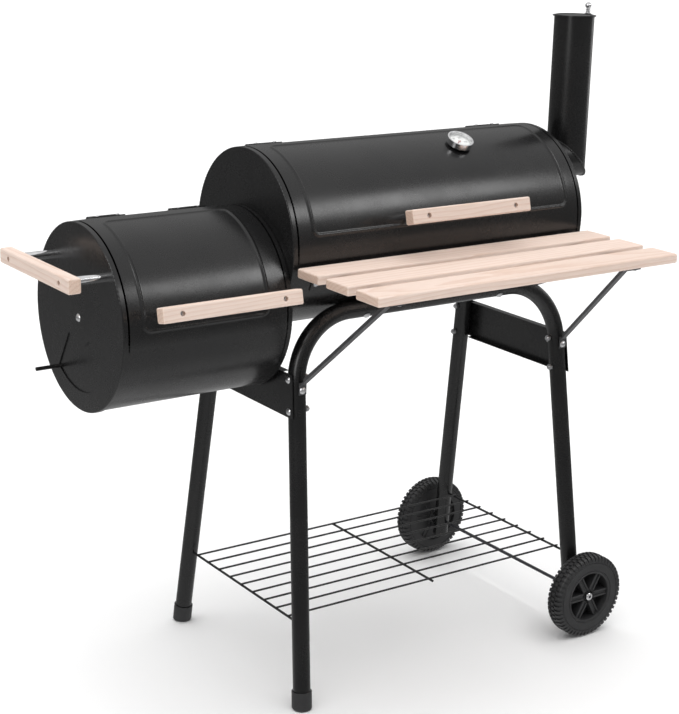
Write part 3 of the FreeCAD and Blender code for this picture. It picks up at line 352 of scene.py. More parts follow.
# ---- materials ----
def black_paint():
    """Semi-gloss heat-proof paint on sheet: fine orange peel, faint dust and a slightly wavy sheet."""
    paint = Finish("black_paint", (0.008, 0.008, 0.0083), 0.28)
    tone = paint.noise(9.0, 4.0, 0.6)
    paint.color(paint.ramp(tone, [(0.35, (0.0070, 0.0070, 0.0073)), (0.7, (0.0105, 0.0103, 0.0104))]))
    speckle = paint.noise(700.0, 2.0, 0.6)
    cloud = paint.noise(14.0, 3.0, 0.55)
    paint.roughness(paint.math("ADD", paint.span(cloud, 0.22, 0.30, 0.3, 0.7),
                               paint.span(speckle, -0.02, 0.03, 0.3, 0.7)))
    paint.bump(paint.noise(5.5, 1.0, 0.4), 0.0016, 0.3)
    paint.bump(paint.noise(950.0, 2.0, 0.5), 0.00005, 0.4)
    return paint.material


def black_wire():
    """Thicker black enamel on wire: small runs and lumps."""
    wire = Finish("black_wire", (0.007, 0.007, 0.0075), 0.4)
    tone = wire.noise(60.0, 3.0, 0.6)
    wire.color(wire.ramp(tone, [(0.3, (0.005, 0.005, 0.0055)), (0.75, (0.010, 0.0098, 0.010))]))
    wire.roughness(wire.span(wire.noise(180.0, 3.0), 0.32, 0.5, 0.3, 0.7))
    wire.bump(wire.noise(300.0, 2.0), 0.0002, 0.5)
    return wire.material


def grey_paint():
    """Dark grey paint on strip steel."""
    paint = Finish("grey_paint", (0.05, 0.05, 0.054), 0.42)
    tone = paint.noise(40.0, 4.0, 0.6)
    paint.color(paint.ramp(tone, [(0.3, (0.04, 0.04, 0.043)), (0.75, (0.065, 0.065, 0.068))]))
    paint.roughness(paint.span(paint.noise(320.0, 2.0), 0.36, 0.5, 0.3, 0.7))
    paint.bump(paint.noise(700.0, 2.0), 0.00008, 0.5)
    return paint.material


def plated(name, color, smoothness, streaks):
    """Plated metal: base tone clouds, fine scratches and a varying sheen."""
    metal = Finish(name, color, smoothness, 1.0)
    darker = tuple(0.82 * c for c in color)
    cloud = metal.noise(120.0, 4.0, 0.6)
    metal.color(metal.ramp(cloud, [(0.3, darker), (0.65, color)]))
    scratches = metal.noise(600.0, 3.0, 0.6, metal.mapped(metal.place, streaks))
    metal.roughness(metal.span(scratches, 0.7 * smoothness, 1.6 * smoothness, 0.3, 0.7))
    metal.bump(scratches, 0.00004, 0.4)
    return metal.material


def moulded_plastic(name, color, roughness):
    """Matt moulded plastic with a fine grained skin."""
    plastic = Finish(name, color, roughness)
    lighter = tuple(1.35 * c for c in color)
    plastic.color(plastic.ramp(plastic.noise(35.0, 4.0, 0.6), [(0.35, color), (0.75, lighter)]))
    grain = plastic.noise(1600.0, 2.0, 0.5)
    plastic.roughness(plastic.span(grain, roughness - 0.06, roughness + 0.08, 0.3, 0.7))
    plastic.bump(grain, 0.00008, 0.5)
    return plastic.material


def along_board(wood, along, heart):
    """Coordinates about the ring centre with X along the board, tilted a little."""
    centred = wood.nodes.new("ShaderNodeVectorMath")
    centred.operation = "SUBTRACT"
    centred.inputs[1].default_value = heart
    wood.links.new(wood.place, centred.inputs[0])
    quarter = 0.0 if along == 0 else math.radians(-90)
    tilt = Matrix.Rotation(math.radians(GRAIN_TILT), 3, "Y") @ Matrix.Rotation(quarter, 3, "Z")
    return wood.mapped(centred.outputs["Vector"], rotation=tilt.to_euler())


def growth_rings(wood, board, squeezed):
    """Saw-shaped growth rings, pushed out of round by a slow noise."""
    drift = wood.nodes.new("ShaderNodeTexNoise")
    drift.inputs["Scale"].default_value = 16.0
    drift.inputs["Detail"].default_value = 2.0
    wood.links.new(squeezed, drift.inputs["Vector"])
    pushed = wood.nodes.new("ShaderNodeVectorMath")
    pushed.operation = "MULTIPLY_ADD"
    pushed.inputs[1].default_value = (0.0, 0.022, 0.022)
    wood.links.new(drift.outputs["Color"], pushed.inputs[0])
    wood.links.new(board, pushed.inputs[2])

    rings = wood.nodes.new("ShaderNodeTexWave")
    rings.wave_type = "RINGS"
    rings.rings_direction = "X"
    rings.wave_profile = "SAW"
    rings.inputs["Scale"].default_value = 52.0
    rings.inputs["Distortion"].default_value = 0.6
    rings.inputs["Detail"].default_value = 2.0
    rings.inputs["Detail Scale"].default_value = 1.2
    wood.links.new(pushed.outputs["Vector"], rings.inputs["Vector"])
    return rings.outputs["Fac"]


def knots(wood, board, seed):
    """1 inside the few small knots, 0 elsewhere."""
    spots = wood.mapped(board, (0.55, 1.0, 1.0), location=(0.11 * seed, 0.07 * seed, 0))
    cells = wood.nodes.new("ShaderNodeTexVoronoi")
    cells.inputs["Scale"].default_value = 7.5
    wood.links.new(spots, cells.inputs["Vector"])
    return wood.span(cells.outputs["Distance"], 1.0, 0.0, 0.012, 0.04)


def sawn_end(wood, along):
    """1 on the board's two ends, 0 on its long faces."""
    normal = wood.nodes.new("ShaderNodeTexCoord").outputs["Normal"]
    facing = wood.nodes.new("ShaderNodeSeparateXYZ")
    wood.links.new(normal, facing.inputs["Vector"])
    lengthwise = wood.math("ABSOLUTE", facing.outputs["X" if along == 0 else "Y"], 0.0)
    return wood.span(lengthwise, 0.0, 1.0, 0.75, 0.95)


def pine(name, along, heart, seed):
    """Bare pale pine: growth rings about a distant heart, fibres, a few knots and open end grain.

    along is the board's length axis (0 for X, 1 for Y) and heart is the ring centre in the row frame.
    """
    wood = Finish(name, (0.8, 0.6, 0.5), 0.62)
    board = along_board(wood, along, heart)
    squeezed = wood.mapped(board, (0.16, 1.0, 1.0), location=(seed, 0.37 * seed, 0))
    rings = growth_rings(wood, board, squeezed)
    grain = wood.ramp(rings, [(0.0, (0.80, 0.66, 0.585)), (0.55, (0.785, 0.64, 0.56)),
                              (0.9, (0.725, 0.555, 0.465)), (1.0, (0.78, 0.625, 0.545))])

    fibres = wood.noise(900.0, 3.0, 0.6, wood.mapped(board, (0.03, 1.0, 1.0), location=(seed, seed, seed)))
    fibre_tone = wood.ramp(fibres, [(0.3, (0.9, 0.88, 0.86)), (0.6, (1.0, 1.0, 1.0))])
    toned = wood.mix(0.75, grain, fibre_tone, "MULTIPLY")
    patches = wood.ramp(wood.noise(7.0, 2.0, 0.5, squeezed),
                        [(0.3, (0.93, 0.9, 0.88)), (0.7, (1.03, 1.03, 1.03))])
    toned = wood.mix(0.7, toned, patches, "MULTIPLY")
    toned = wood.mix(knots(wood, board, seed), toned, (0.5, 0.28, 0.17))

    pores = wood.ramp(wood.noise(1500.0, 2.0), [(0.35, (0.74, 0.68, 0.62)), (0.6, (0.95, 0.9, 0.86))])
    cut = wood.mix(1.0, toned, pores, "MULTIPLY")
    wood.color(wood.mix(sawn_end(wood, along), toned, cut))
    wood.roughness(wood.span(fibres, 0.55, 0.72, 0.3, 0.7))
    wood.bump(rings, 0.00012, 0.35)
    wood.bump(fibres, 0.0001, 0.5)
    return wood.material


def printed(name, color):
    """Matt print: faint mottling and a fine grain."""
    ink = Finish(name, color, 0.5)
    darker = tuple(0.88 * c for c in color)
    ink.color(ink.ramp(ink.noise(220.0, 3.0), [(0.3, darker), (0.65, color)]))
    ink.roughness(ink.span(ink.noise(900.0, 2.0), 0.42, 0.58, 0.3, 0.7))
    ink.bump(ink.noise(1500.0, 2.0), 0.00003, 0.4)
    return ink.material


def clear_glass():
    """Thin flat cover glass with faint smears."""
    glass = Finish("glass", (0.96, 0.98, 0.98), 0.03)
    glass.set(Alpha=0.14, IOR=1.5)
    glass.roughness(glass.span(glass.noise(60.0, 3.0), 0.02, 0.09, 0.3, 0.7))
    glass.color(glass.ramp(glass.noise(90.0, 3.0), [(0.3, (0.92, 0.94, 0.94)), (0.7, (0.98, 1.0, 1.0))]))
    return glass.material


FINISHES = {
    "black_paint": black_paint(),
    "black_wire": black_wire(),
    "grey_paint": grey_paint(),
    "zinc": plated("zinc", (0.72, 0.72, 0.73), 0.26, (1, 1, 0.2)),
    "zinc_rod": plated("zinc_rod", (0.1, 0.1, 0.11), 0.34, (1, 0.1, 1)),
    "chrome": plated("chrome", (0.86, 0.86, 0.87), 0.1, (1, 0.3, 1)),
    "chrome_wire": plated("chrome_wire", (0.8, 0.8, 0.82), 0.16, (1, 0.1, 1)),
    "black_plastic": moulded_plastic("black_plastic", (0.024, 0.024, 0.025), 0.5),
    "wheel_plastic": moulded_plastic("wheel_plastic", (0.022, 0.022, 0.023), 0.5),
    "dial_white": printed("dial_white", (0.86, 0.86, 0.84)),
    "needle_red": printed("needle_red", (0.34, 0.03, 0.02)),
    "dial_ink": printed("dial_ink", (0.03, 0.03, 0.035)),
    "glass": clear_glass(),
}

# Length axis (0 for X, 1 for Y), sideways distance of the ring centre, and where in the noise the board lies.
WOOD_PIECES = {
    "main_handle": (0, 0.03, 1.0),
    "firebox_handle": (0, -0.025, 4.0),
    "side_handle": (1, 0.02, 7.0),
    "shelf_back_slat": (0, 0.045, 2.3),
    "shelf_middle_slat": (0, -0.04, 5.1),
    "shelf_front_slat": (0, 0.02, 8.6),
}


def use_finish(thing, material):
    thing.data.materials.clear()
    thing.data.materials.append(material)


def dress_cad_nodes():
    """Every CAD node gets the finish of its material slot; each wooden piece gets its own grain."""
    for part in frame["record"]["subparts"]:
        name = part["node"]
        if name in WOOD_PIECES:
            along, aside, seed = WOOD_PIECES[name]
            low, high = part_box(name)
            across = Vector((0, aside, 0)) if along == 0 else Vector((aside, 0, 0))
            heart = (low + high) / 2 + across - Vector((0, 0, HEART_DROP))
            material = pine("pine_" + name, along, heart, seed)
        else:
            material = FINISHES[part["material_slot"]]
        use_finish(frame["nodes"][name], material)


# ---- barrels ----
class Barrel:
    """Place and size of a barrel, read from its left end plate."""

    def __init__(self, left_plate):
        low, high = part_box(left_plate)
        self.left = low.x
        self.axis = Vector((0, (low.y + high.y) / 2, (low.z + high.z) / 2))
        self.radius = (high.z - low.z) / 2

    def point(self, x, angle, radius):
        """The point at an angle round the barrel: 0 faces the front, 90 is up."""
        turn = math.radians(angle)
        return Vector((x, self.axis.y - radius * math.cos(turn), self.axis.z + radius * math.sin(turn)))


MAIN = Barrel("main_left_plate")
FIREBOX = Barrel("firebox_left_plate")


def stations(low, high, coarse, marks):
    """Positions from low to high: fine steps near each mark, coarse steps elsewhere."""
    before = 0.5 * BEAD_REACH
    tiny = 1e-9
    found = [low]
    here = low
    while here < high - tiny:
        near = any(-before - tiny < here - mark < BEAD_REACH for mark in marks)
        upcoming = [mark - before for mark in marks if mark - before > here + tiny]
        step = BEAD_STEP if near else coarse
        here = min([here + step, high] + ([] if near else upcoming))
        found.append(here)
    return found


def bead_rise(x, along, x_span, along_span):
    """Height of the embossed line at a place on the lid: a rounded rectangle's outline."""
    centre_x, half_x = (x_span[0] + x_span[1]) / 2, (x_span[1] - x_span[0]) / 2
    centre_a, half_a = (along_span[0] + along_span[1]) / 2, (along_span[1] - along_span[0]) / 2
    across = abs(x - centre_x) - half_x + BEAD_CORNER
    up = abs(along - centre_a) - half_a + BEAD_CORNER
    distance = math.hypot(max(across, 0), max(up, 0)) + min(max(across, up), 0) - BEAD_CORNER
    if abs(distance) > BEAD_HALF_WIDTH:
        return 0.0
    return BEAD_HEIGHT * 0.5 * (1 + math.cos(math.pi * distance / BEAD_HALF_WIDTH))


def lid_points(barrel, xs, arcs, x_marks, arc_marks):
    """Points of the sheet's outer side, then of its inner side; arcs are lengths round the lid."""
    radius = barrel.radius + LID_LIFT
    to_arc = math.radians(1.0) * radius
    points = []
    for side in (0, 1):
        for x in xs:
            for along in arcs:
                rise = bead_rise(x, along, x_marks, arc_marks)
                edge = min(x - xs[0], xs[-1] - x, along - arcs[0], arcs[-1] - along)
                ease = LID_EASE if edge < 1e-9 and side == 0 else 0.0
                points.append(barrel.point(x, along / to_arc, radius + rise - SHEET * side - ease))
    return points


def sheet_faces(rows, cols):
    """Faces of two grids of rows by cols points, one behind the other, joined round the rim."""
    def index(side, i, j):
        return side * rows * cols + i * cols + j

    faces = []
    for i in range(rows - 1):
        for j in range(cols - 1):
            faces.append((index(0, i, j), index(0, i + 1, j), index(0, i + 1, j + 1), index(0, i, j + 1)))
            faces.append((index(1, i, j), index(1, i, j + 1), index(1, i + 1, j + 1), index(1, i + 1, j)))
    rim = [(i, 0) for i in range(rows)] + [(rows - 1, j) for j in range(1, cols)]
    rim += [(i, cols - 1) for i in range(rows - 2, -1, -1)] + [(0, j) for j in range(cols - 2, 0, -1)]
    for (i, j), (m, n) in zip(rim, rim[1:] + rim[:1]):
        faces.append((index(0, i, j), index(1, i, j), index(1, m, n), index(0, m, n)))
    return faces


def make_lid(name, node, barrel, low_angle, bead_x, bead_angles):
    """Curved lid sheet with an embossed outline and eased edges, closed all round."""
    box_low, box_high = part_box(node)
    to_arc = math.radians(1.0) * (barrel.radius + LID_LIFT)
    x_marks = [barrel.left + bead_x[0], barrel.left + bead_x[1]]
    arc_marks = [bead_angles[0] * to_arc, bead_angles[1] * to_arc]
    fine_xs = [mark + shift for mark, shift in zip(x_marks, BEAD_MARK_SHIFT)]
    fine_arcs = [mark + shift for mark, shift in zip(arc_marks, BEAD_MARK_SHIFT)]
    xs = stations(box_low.x, box_high.x, LID_STEP_ALONG, fine_xs)
    arcs = stations(low_angle * to_arc, LID_HIGH * to_arc, LID_STEP_ROUND, fine_arcs)
    mesh = mesh_from(name, lid_points(barrel, xs, arcs, x_marks, arc_marks), sheet_faces(len(xs), len(arcs)))
    fix_normals(mesh)
    lid = new_object(name, mesh, node, 40)
    use_finish(lid, FINISHES["black_paint"])
    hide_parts(node)


# ---- wheels ----
def tyre_profile(radius, width):
    """Closed outline (radius, depth) of the tyre part; depth 0 is the outer face."""
    recess = TYRE_RECESS_R
    back_recess = TYRE_BACK_RECESS_R
    groove = 0.0012
    rim = [
        (recess, 0.0045), (recess + 0.0006, 0.0014), (recess + 0.0022, 0.0004),
        (recess + 0.0040, 0.0002), (recess + 0.0046, groove), (recess + 0.0060, groove),
    ]
    wall = [
        (recess + 0.0066, 0.0002), (radius - 0.0135, 0.0002), (radius - 0.0129, groove),
        (radius - 0.0117, groove), (radius - 0.0111, 0.0002), (radius - 0.006, 0.0006),
    ]
    shoulder = [(radius - 0.0028, 0.0016), (radius - 0.001, 0.0034),
                (radius - 0.0002, 0.006), (radius, 0.0098)]
    tread = [(radius, 0.0103), (radius - 0.0026, 0.0108),
             (radius - 0.0026, 0.0120), (radius - 0.0004, 0.0126)]
    front = rim + wall + shoulder + tread
    back = [(r, width - d) for r, d in reversed(wall + shoulder + tread)]
    back_rim = [(back_recess + 0.0008, width - 0.0004), (back_recess, width - 0.0030),
                (back_recess, WEB_DEPTH[1]), (recess, WEB_DEPTH[1])]
    return front + back + back_rim


def lug_drop(radius, depth, phase, wheel_radius, width):
    """How far the surface sinks between two lugs; the middle row is staggered against the outer rows."""
    from_side = min(depth, width - depth)
    middle = from_side > MIDDLE_ROW_DEPTH
    local = (phase + (0.5 if middle else 0.0)) % 1.0
    if local >= NOTCH_SHARE:
        return 0.0
    if not middle and (radius < wheel_radius - SIDE_NOTCH_REACH or from_side > SIDE_ROW_DEPTH):
        return 0.0
    return NOTCH_DEPTH


def wheel_turns():
    """Angles round the tyre: a close pair at each side of each notch keeps the lugs crisp."""
    step = 2 * math.pi / TYRE_LUGS
    sides = (NOTCH_SHARE, 0.5, NOTCH_SHARE + 0.5)
    shares = [0.0] + [side + slope for side in sides for slope in (-NOTCH_SLOPE, NOTCH_SLOPE)]
    shares.append(1.0 - NOTCH_SLOPE)
    return [(i * step + share * step, share) for i in range(TYRE_LUGS) for share in shares]


def tyre(radius, width, place):
    """The lugged outer part of a wheel."""
    profile = tyre_profile(radius, width)
    turns = wheel_turns()
    points = []
    for turn, share in turns:
        for r, depth in profile:
            drop = lug_drop(r, depth, share, radius, width)
            on_side = min(depth, width - depth) < 0.004
            sideways = drop * 0.5 * (1 if depth < width / 2 else -1) if on_side else 0.0
            inward = drop * (0.25 if r < radius - 0.005 else 1.0)
            points.append(place(r - inward, depth + sideways, turn))
    count, steps = len(profile), len(turns)
    faces = []
    for i in range(steps):
        j = (i + 1) % steps
        for k in range(count):
            m = (k + 1) % count
            faces.append((i * count + k, i * count + m, j * count + m, j * count + k))
    return points, faces


def hub_and_floor(width, place):
    """Turned middle part: sunken floor, hub with a ring groove round the cap, and the bore."""
    bore = AXLE_BORE_R
    profile = [
        (bore, 0.0060), (0.0078, 0.0060), (0.0082, 0.0095), (0.0106, 0.0095), (0.0110, 0.0056),
        (HUB_R - 0.0008, 0.0056), (HUB_R, 0.0064), (HUB_R + 0.0005, WEB_DEPTH[0] - 0.0005),
        (TYRE_RECESS_R + 0.0015, WEB_DEPTH[0]), (TYRE_RECESS_R + 0.0015, WEB_DEPTH[1] - 0.0002),
        (HUB_R + 0.001, WEB_DEPTH[1] + 0.0005), (HUB_R, width - 0.001), (HUB_R - 0.001, width), (bore, width),
    ]
    return lathe(profile, 64, place)


def spoke_bar(start, end, half, top, bottom, turn, offset, place):
    """One raised rib of a spoke with eased top edges, along a radius."""
    ease = SPOKE_EASE
    outline = [(-half, bottom), (-half, top + ease), (-half + ease, top), (half - ease, top),
               (half, top + ease), (half, bottom)]
    points = []
    for radius in (start, end):
        for across, depth in outline:
            aside = offset + across
            points.append(place(math.hypot(radius, aside), depth, turn + math.atan2(aside, radius)))
    count = len(outline)
    faces = [tuple(range(count)), tuple(range(2 * count - 1, count - 1, -1))]
    for k in range(count):
        m = (k + 1) % count
        faces.append((k, k + count, m + count, m))
    return points, faces


def spoke(turn, width, place):
    """Two ribs with a sunken floor between them in front of the thin web, and two ribs behind it."""
    sunk = 0.0004
    start, end = HUB_R - 0.0005, TYRE_RECESS_R + 0.001
    back_end = TYRE_BACK_RECESS_R + 0.001
    bottom = WEB_DEPTH[0] + sunk
    back_bottom = width - WEB_DEPTH[1] + sunk

    def place_back(r, depth, around):
        return place(r, width - depth, around)

    parts = [spoke_bar(start, end, SPOKE_FLOOR_HALF, SPOKE_FLOOR_DEPTH, bottom, turn, 0.0, place)]
    for offset in (-RIB_OFFSET, RIB_OFFSET):
        parts.append(spoke_bar(start, end, RIB_HALF, RIB_DEPTH, bottom, turn, offset, place))
        parts.append(spoke_bar(start, back_end, BACK_RIB_HALF, BACK_RIB_DEPTH, back_bottom, turn, offset,
                               place_back))
    return parts


def make_wheel(node):
    """Moulded wheel: lugged tyre part, sunken middle and six spokes of two ribs each."""
    low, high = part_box(node)
    middle = (low + high) / 2
    radius, width = (high.z - low.z) / 2, high.y - low.y
    outward = -1 if middle.y < 0 else 1
    face_y = low.y if outward < 0 else high.y

    def place(r, depth, turn):
        across, up = r * math.cos(turn), r * math.sin(turn)
        return Vector((middle.x + across, face_y - outward * depth, middle.z + up))

    parts = [tyre(radius, width, place), hub_and_floor(width, place)]
    for i in range(SPOKES):
        parts += spoke(2 * math.pi * i / SPOKES, width, place)
    mesh = mesh_from(node + "_moulding", *joined(parts))
    fix_normals(mesh)
    wheel = new_object(node + "_moulding", mesh, node, 32)
    use_finish(wheel, FINISHES["wheel_plastic"])
    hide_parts(node)


# ---- chimney ----
def make_spring():
    """Coil spring between the chimney cap and its pivot screw's head."""
    low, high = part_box("cap_spring")
    middle = (low + high) / 2
    radius = (high.x - low.x) / 2 - SPRING_WIRE_R
    bottom, top = low.z + SPRING_WIRE_R, high.z - SPRING_WIRE_R
    steps = int(SPRING_TURNS * SPRING_STEPS)
    centres = []
    for i in range(steps + 1):
        share = i / steps
        turn = 2 * math.pi * SPRING_TURNS * share
        closer_at_ends = 3 * share ** 2 - 2 * share ** 3
        z = bottom + (top - bottom) * (0.35 * closer_at_ends + 0.65 * share)
        centres.append(Vector((middle.x + radius * math.cos(turn), middle.y + radius * math.sin(turn), z)))
    mesh = mesh_from("cap_coil_spring", *tube_along(centres, SPRING_WIRE_R, 8, False))
    fix_normals(mesh)
    spring = new_object("cap_coil_spring", mesh, frame_body("cap_spring"), 60)
    use_finish(spring, FINISHES["zinc"])
    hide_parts("cap_spring")


def make_pivot_screw():
    """Pivot screw of the chimney cap: a shank with a washer on the cap and a ball-shaped head."""
    low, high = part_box("cap_pivot")
    middle = (low + high) / 2
    cap_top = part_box("cap_spring")[0].z

    def place(r, along, turn):
        return Vector((middle.x + r * math.cos(turn), middle.y + r * math.sin(turn), along))

    shank, washer, ball = SCREW_SHANK_R, SCREW_WASHER_R, SCREW_BALL_R
    centre = high.z - ball
    profile = [(0.0, low.z), (shank, low.z), (shank, cap_top - 0.0009), (washer, cap_top - 0.0007),
               (washer, cap_top + 0.0006), (shank, cap_top + 0.0012), (shank, centre - ball * 0.85)]
    ball_steps = 12
    for i in range(1, ball_steps + 1):
        turn = math.radians(-58 + 148 * i / ball_steps)
        profile.append((ball * math.cos(turn), centre + ball * math.sin(turn)))
    mesh = mesh_from("cap_pivot_screw", *lathe(profile, 40, place, False))
    merge_points(mesh, 0.00001)
    fix_normals(mesh)
    screw = new_object("cap_pivot_screw", mesh, frame_body("cap_pivot"), 40)
    use_finish(screw, FINISHES["chrome"])
    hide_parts("cap_pivot")


def rivet_head(barrel, x):
    """One domed head on a hinge leaf."""
    base = barrel.point(x, RIVET_ANGLE, barrel.radius + LID_LIFT + RIVET_SEAT)
    out = (base - barrel.point(x, RIVET_ANGLE, 0.0)).normalized()
    right = Vector((1, 0, 0))
    up = out.cross(right)

    def place(r, along, turn):
        return base + out * along + right * r * math.cos(turn) + up * r * math.sin(turn)

    profile = [(0.0, -0.0004), (0.0033, -0.0004), (0.0033, 0.0002), (0.0029, 0.0008), (0.0018, 0.0013),
               (0.0, 0.0015)]
    return lathe(profile, 28, place, False)


def make_rivets(node, barrel, lid):
    """Bright rivet heads near both ends of each of a lid's two hinge leaves."""
    low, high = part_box(node)
    places = (low.x + RIVET_INSET, low.x + HINGE_LENGTH - RIVET_INSET,
              high.x - HINGE_LENGTH + RIVET_INSET, high.x - RIVET_INSET)
    mesh = mesh_from(node + "_rivets", *joined([rivet_head(barrel, x) for x in places]))
    merge_points(mesh, 0.00001)
    fix_normals(mesh)
    rivets = new_object(node + "_rivets", mesh, lid, 40)
    use_finish(rivets, FINISHES["zinc"])


def make_stack_weld():
    """Rippled weld bead round the chimney's mitred corner."""
    stack_low, stack_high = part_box("smokestack")
    out = (stack_high.y - stack_low.y) / 2 + 0.0002
    flange_low, flange_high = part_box("smokestack_flange")
    level = (flange_low.z + flange_high.z) / 2
    upright_x = stack_x_centre()
    centres = []
    for i in range(WELD_STEPS):
        turn = 2 * math.pi * i / WELD_STEPS
        along = out * math.sin(turn)
        centres.append(Vector((upright_x + along, MAIN.axis.y + out * math.cos(turn), level - along)))

    def thickness(i):
        wave = math.sin(i * 2 * math.pi * WELD_RIPPLES / WELD_STEPS)
        return WELD_R + WELD_RIPPLE * wave * (1 if i % 2 else 0.6)

    mesh = mesh_from("stack_weld", *tube_along(centres, thickness, 8, True))
    fix_normals(mesh)
    weld = new_object("stack_weld", mesh, frame_body("smokestack"), 60)
    use_finish(weld, FINISHES["black_paint"])


def stack_x_centre():
    """x of the upright pipe's axis: its cap is a disc centred on it, apart from the ear."""
    low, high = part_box("stack_cap")
    radius = (high.y - low.y) / 2
    return low.x + radius


# ---- thermometer ----
class Dial:
    """Places on the thermometer's face, read from its cover glass and dial."""

    def __init__(self):
        low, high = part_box("thermometer_glass")
        glass = (low + high) / 2
        self.out = Vector((0, glass.y - MAIN.axis.y, glass.z - MAIN.axis.z)).normalized()
        self.right = Vector((1, 0, 0))
        self.up = self.out.cross(self.right)
        self.face = glass - self.out * DIAL_DEPTH
        dial_low, dial_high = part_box("thermometer_dial")
        self.radius = (dial_high.x - dial_low.x) / 2

    def spot(self, share, angle):
        """The point at a share of the dial's radius; angle 0 points right, 90 up."""
        turn = math.radians(angle)
        r = self.radius * share
        return self.face + self.right * r * math.cos(turn) + self.up * r * math.sin(turn)

    def plate(self, inner, outer, first, last):
        """A thin slab between two shares of the radius and two angles."""
        corners = [self.spot(inner, first), self.spot(inner, last),
                   self.spot(outer, last), self.spot(outer, first)]
        points = corners + [corner + self.out * DIAL_MARK_T for corner in corners]
        faces = [(3, 2, 1, 0), (4, 5, 6, 7)] + [(k, (k + 1) % 4, 4 + (k + 1) % 4, 4 + k) for k in range(4)]
        return points, faces


def scale_angle(share):
    """Angle at a share of the way along the scale."""
    return DIAL_START + (DIAL_END - DIAL_START) * share


def make_dial_marks(dial):
    """Printed scale: an arc with long and short marks."""
    outer = 0.92
    parts = []
    for i in range(DIAL_MARKS + 1):
        angle = scale_angle(i / DIAL_MARKS)
        long_mark = i % 5 == 0
        half = math.degrees((0.00028 if long_mark else 0.00015) / (dial.radius * outer))
        parts.append(dial.plate(0.74 if long_mark else 0.82, outer, angle + half, angle - half))
    for i in range(DIAL_ARC_STEPS):
        first, last = scale_angle(i / DIAL_ARC_STEPS), scale_angle((i + 1) / DIAL_ARC_STEPS)
        parts.append(dial.plate(0.915, 0.94, first, last))
    mesh = mesh_from("dial_marks", *joined(parts))
    fix_normals(mesh)
    marks = new_object("dial_marks", mesh, frame_body("thermometer_dial"))
    use_finish(marks, FINISHES["dial_ink"])


def make_dial_number(dial, number, angle):
    """One generic number, as a thin raised print."""
    text = bpy.data.curves.new("number_%d" % number, "FONT")
    text.body = str(number)
    text.size = DIGIT_SIZE
    text.align_x, text.align_y = "CENTER", "CENTER"
    text.extrude = DIAL_MARK_T / 2
    shown = bpy.data.objects.new("dial_number_%d" % number, text)
    bpy.context.scene.collection.objects.link(shown)
    facing = Matrix((dial.right, dial.up, dial.out)).transposed().to_4x4()
    shown.matrix_world = Matrix.Translation(dial.spot(0.56, angle) + dial.out * 0.0001) @ facing
    bpy.context.view_layer.update()
    digits = bpy.data.meshes.new_from_object(shown)
    digits.transform(shown.matrix_world)
    bpy.data.objects.remove(shown)
    merge_points(digits, 0.000001)
    piece = new_object("dial_number_%d" % number, digits, frame_body("thermometer_dial"))
    use_finish(piece, FINISHES["dial_ink"])


# ---- stage ----
def make_floor():
    """Plain pale floor, left out of reflections."""
    mesh = bpy.data.meshes.new("floor")
    size = 60.0
    corners = [(-size, -size, 0), (size, -size, 0), (size, size, 0), (-size, size, 0)]
    mesh.from_pydata(corners, [], [(0, 1, 2, 3)])
    floor = bpy.data.objects.new("floor", mesh)
    floor.location.z = cad_box[0].z - 0.0004
    floor.visible_glossy = False
    bpy.context.scene.collection.objects.link(floor)
    surface = Finish("studio_floor", (0.93, 0.93, 0.93), 0.8)
    tones = [(0.3, (0.925, 0.925, 0.925)), (0.7, (0.935, 0.935, 0.935))]
    surface.color(surface.ramp(surface.noise(1.5, 2.0), tones))
    use_finish(floor, surface.material)


def area_light(name, place, aim, size, power):
    """A soft box that shows only as a highlight."""
    data = bpy.data.lights.new(name, "AREA")
    data.shape = "RECTANGLE"
    data.size, data.size_y = size
    data.energy = power
    lamp = bpy.data.objects.new(name, data)
    lamp.location = place
    lamp.rotation_mode = "QUATERNION"
    lamp.rotation_quaternion = (Vector(aim) - Vector(place)).to_track_quat("-Z", "Y")
    lamp.visible_diffuse = False
    bpy.context.scene.collection.objects.link(lamp)


def make_world():
    """A plain studio: dark round the horizon, brighter towards the floor and overhead."""
    world = bpy.data.worlds.new("studio")
    world.use_nodes = True
    nodes, links = world.node_tree.nodes, world.node_tree.links
    direction = nodes.new("ShaderNodeTexCoord").outputs["Generated"]
    height = nodes.new("ShaderNodeSeparateXYZ")
    links.new(direction, height.inputs["Vector"])
    share = nodes.new("ShaderNodeMapRange")
    links.new(height.outputs["Z"], share.inputs["Value"])
    share.inputs["From Min"].default_value = -1.0
    share.inputs["From Max"].default_value = 1.0
    ramp = nodes.new("ShaderNodeValToRGB")
    links.new(share.outputs["Result"], ramp.inputs["Fac"])
    # Place of each stop (0 straight down, 0.5 the horizon, 1 straight up) and its grey.
    stops = ((0.0, 0.85), (0.15, 0.52), (0.27, 0.66), (0.37, 0.18), (0.55, 0.24), (0.65, 0.38), (0.9, 0.8))
    marks = ramp.color_ramp.elements
    while len(marks) < len(stops):
        marks.new(0.5)
    for mark, (at, grey) in zip(marks, stops):
        mark.position = at
        mark.color = (grey, grey, grey, 1)
    links.new(ramp.outputs["Color"], nodes["Background"].inputs["Color"])
    nodes["Background"].inputs["Strength"].default_value = 1.0
    bpy.context.scene.world = world


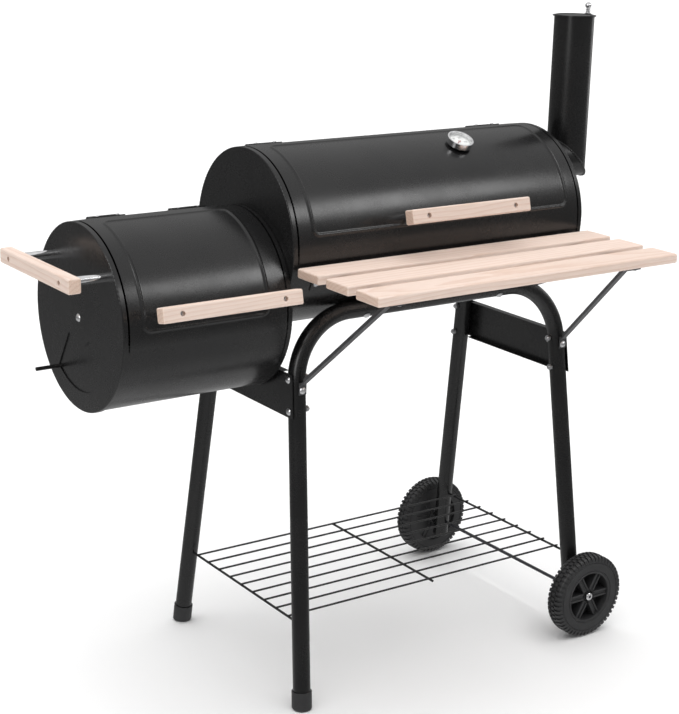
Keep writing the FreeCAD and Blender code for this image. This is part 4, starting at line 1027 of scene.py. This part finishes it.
def make_lights():
    """A wide soft light from above and three soft boxes."""
    sun = bpy.data.lights.new("overhead", "SUN")
    sun.energy = 2.25
    sun.angle = math.radians(75)
    lamp = bpy.data.objects.new("overhead", sun)
    lamp.rotation_euler = (math.radians(3), math.radians(-4), 0)
    lamp.visible_glossy = False
    bpy.context.scene.collection.objects.link(lamp)
    area_light("front_box", (1.75, -2.2, 2.5), (0.05, 0.0, 0.8), (1.5, 0.8), 22)
    area_light("side_strip", (3.2, 0.4, 1.35), (0.3, 0.0, 0.8), (0.9, 1.8), 6)
    area_light("left_card", (-2.5, -1.3, 2.1), (0.0, 0.0, 0.8), (1.0, 2.6), 30)


def make_camera():
    """Camera at the front left, a little above the grill."""
    data = bpy.data.cameras.new("camera")
    data.sensor_width = 36.0
    data.lens = CAMERA_LENS
    data.shift_x, data.shift_y = CAMERA_SHIFT
    data.clip_start, data.clip_end = 0.05, 200.0
    camera = bpy.data.objects.new("camera", data)
    a, e = math.radians(CAMERA_AZIMUTH), math.radians(CAMERA_ELEVATION)
    back = Vector((math.sin(a) * math.cos(e), -math.cos(a) * math.cos(e), math.sin(e)))
    camera.location = CAMERA_PLACE
    camera.rotation_mode = "QUATERNION"
    roll = Quaternion((0, 0, 1), math.radians(CAMERA_ROLL))
    camera.rotation_quaternion = (-back).to_track_quat("-Z", "Y") @ roll
    bpy.context.scene.collection.objects.link(camera)
    bpy.context.scene.camera = camera


dress_cad_nodes()
make_lid("main_lid_sheet", "main_lid", MAIN, MAIN_LID_LOW, MAIN_BEAD_X, MAIN_BEAD_ANGLES)
make_lid("firebox_lid_sheet", "firebox_lid", FIREBOX, FIREBOX_LID_LOW, FIREBOX_BEAD_X, FIREBOX_BEAD_ANGLES)
make_wheel("front_wheel")
make_wheel("rear_wheel")
make_spring()
make_pivot_screw()
make_rivets("main_lid_hinges", MAIN, "main_lid")
make_rivets("firebox_lid_hinges", FIREBOX, "firebox_lid")
make_stack_weld()
thermometer = Dial()
make_dial_marks(thermometer)
for quarter, number in enumerate((50, 150, 250, 350)):
    make_dial_number(thermometer, number, scale_angle((quarter + 0.5) / 4))
make_floor()
make_world()
make_lights()
make_camera()
bpy.context.scene.view_settings.view_transform = "Standard"
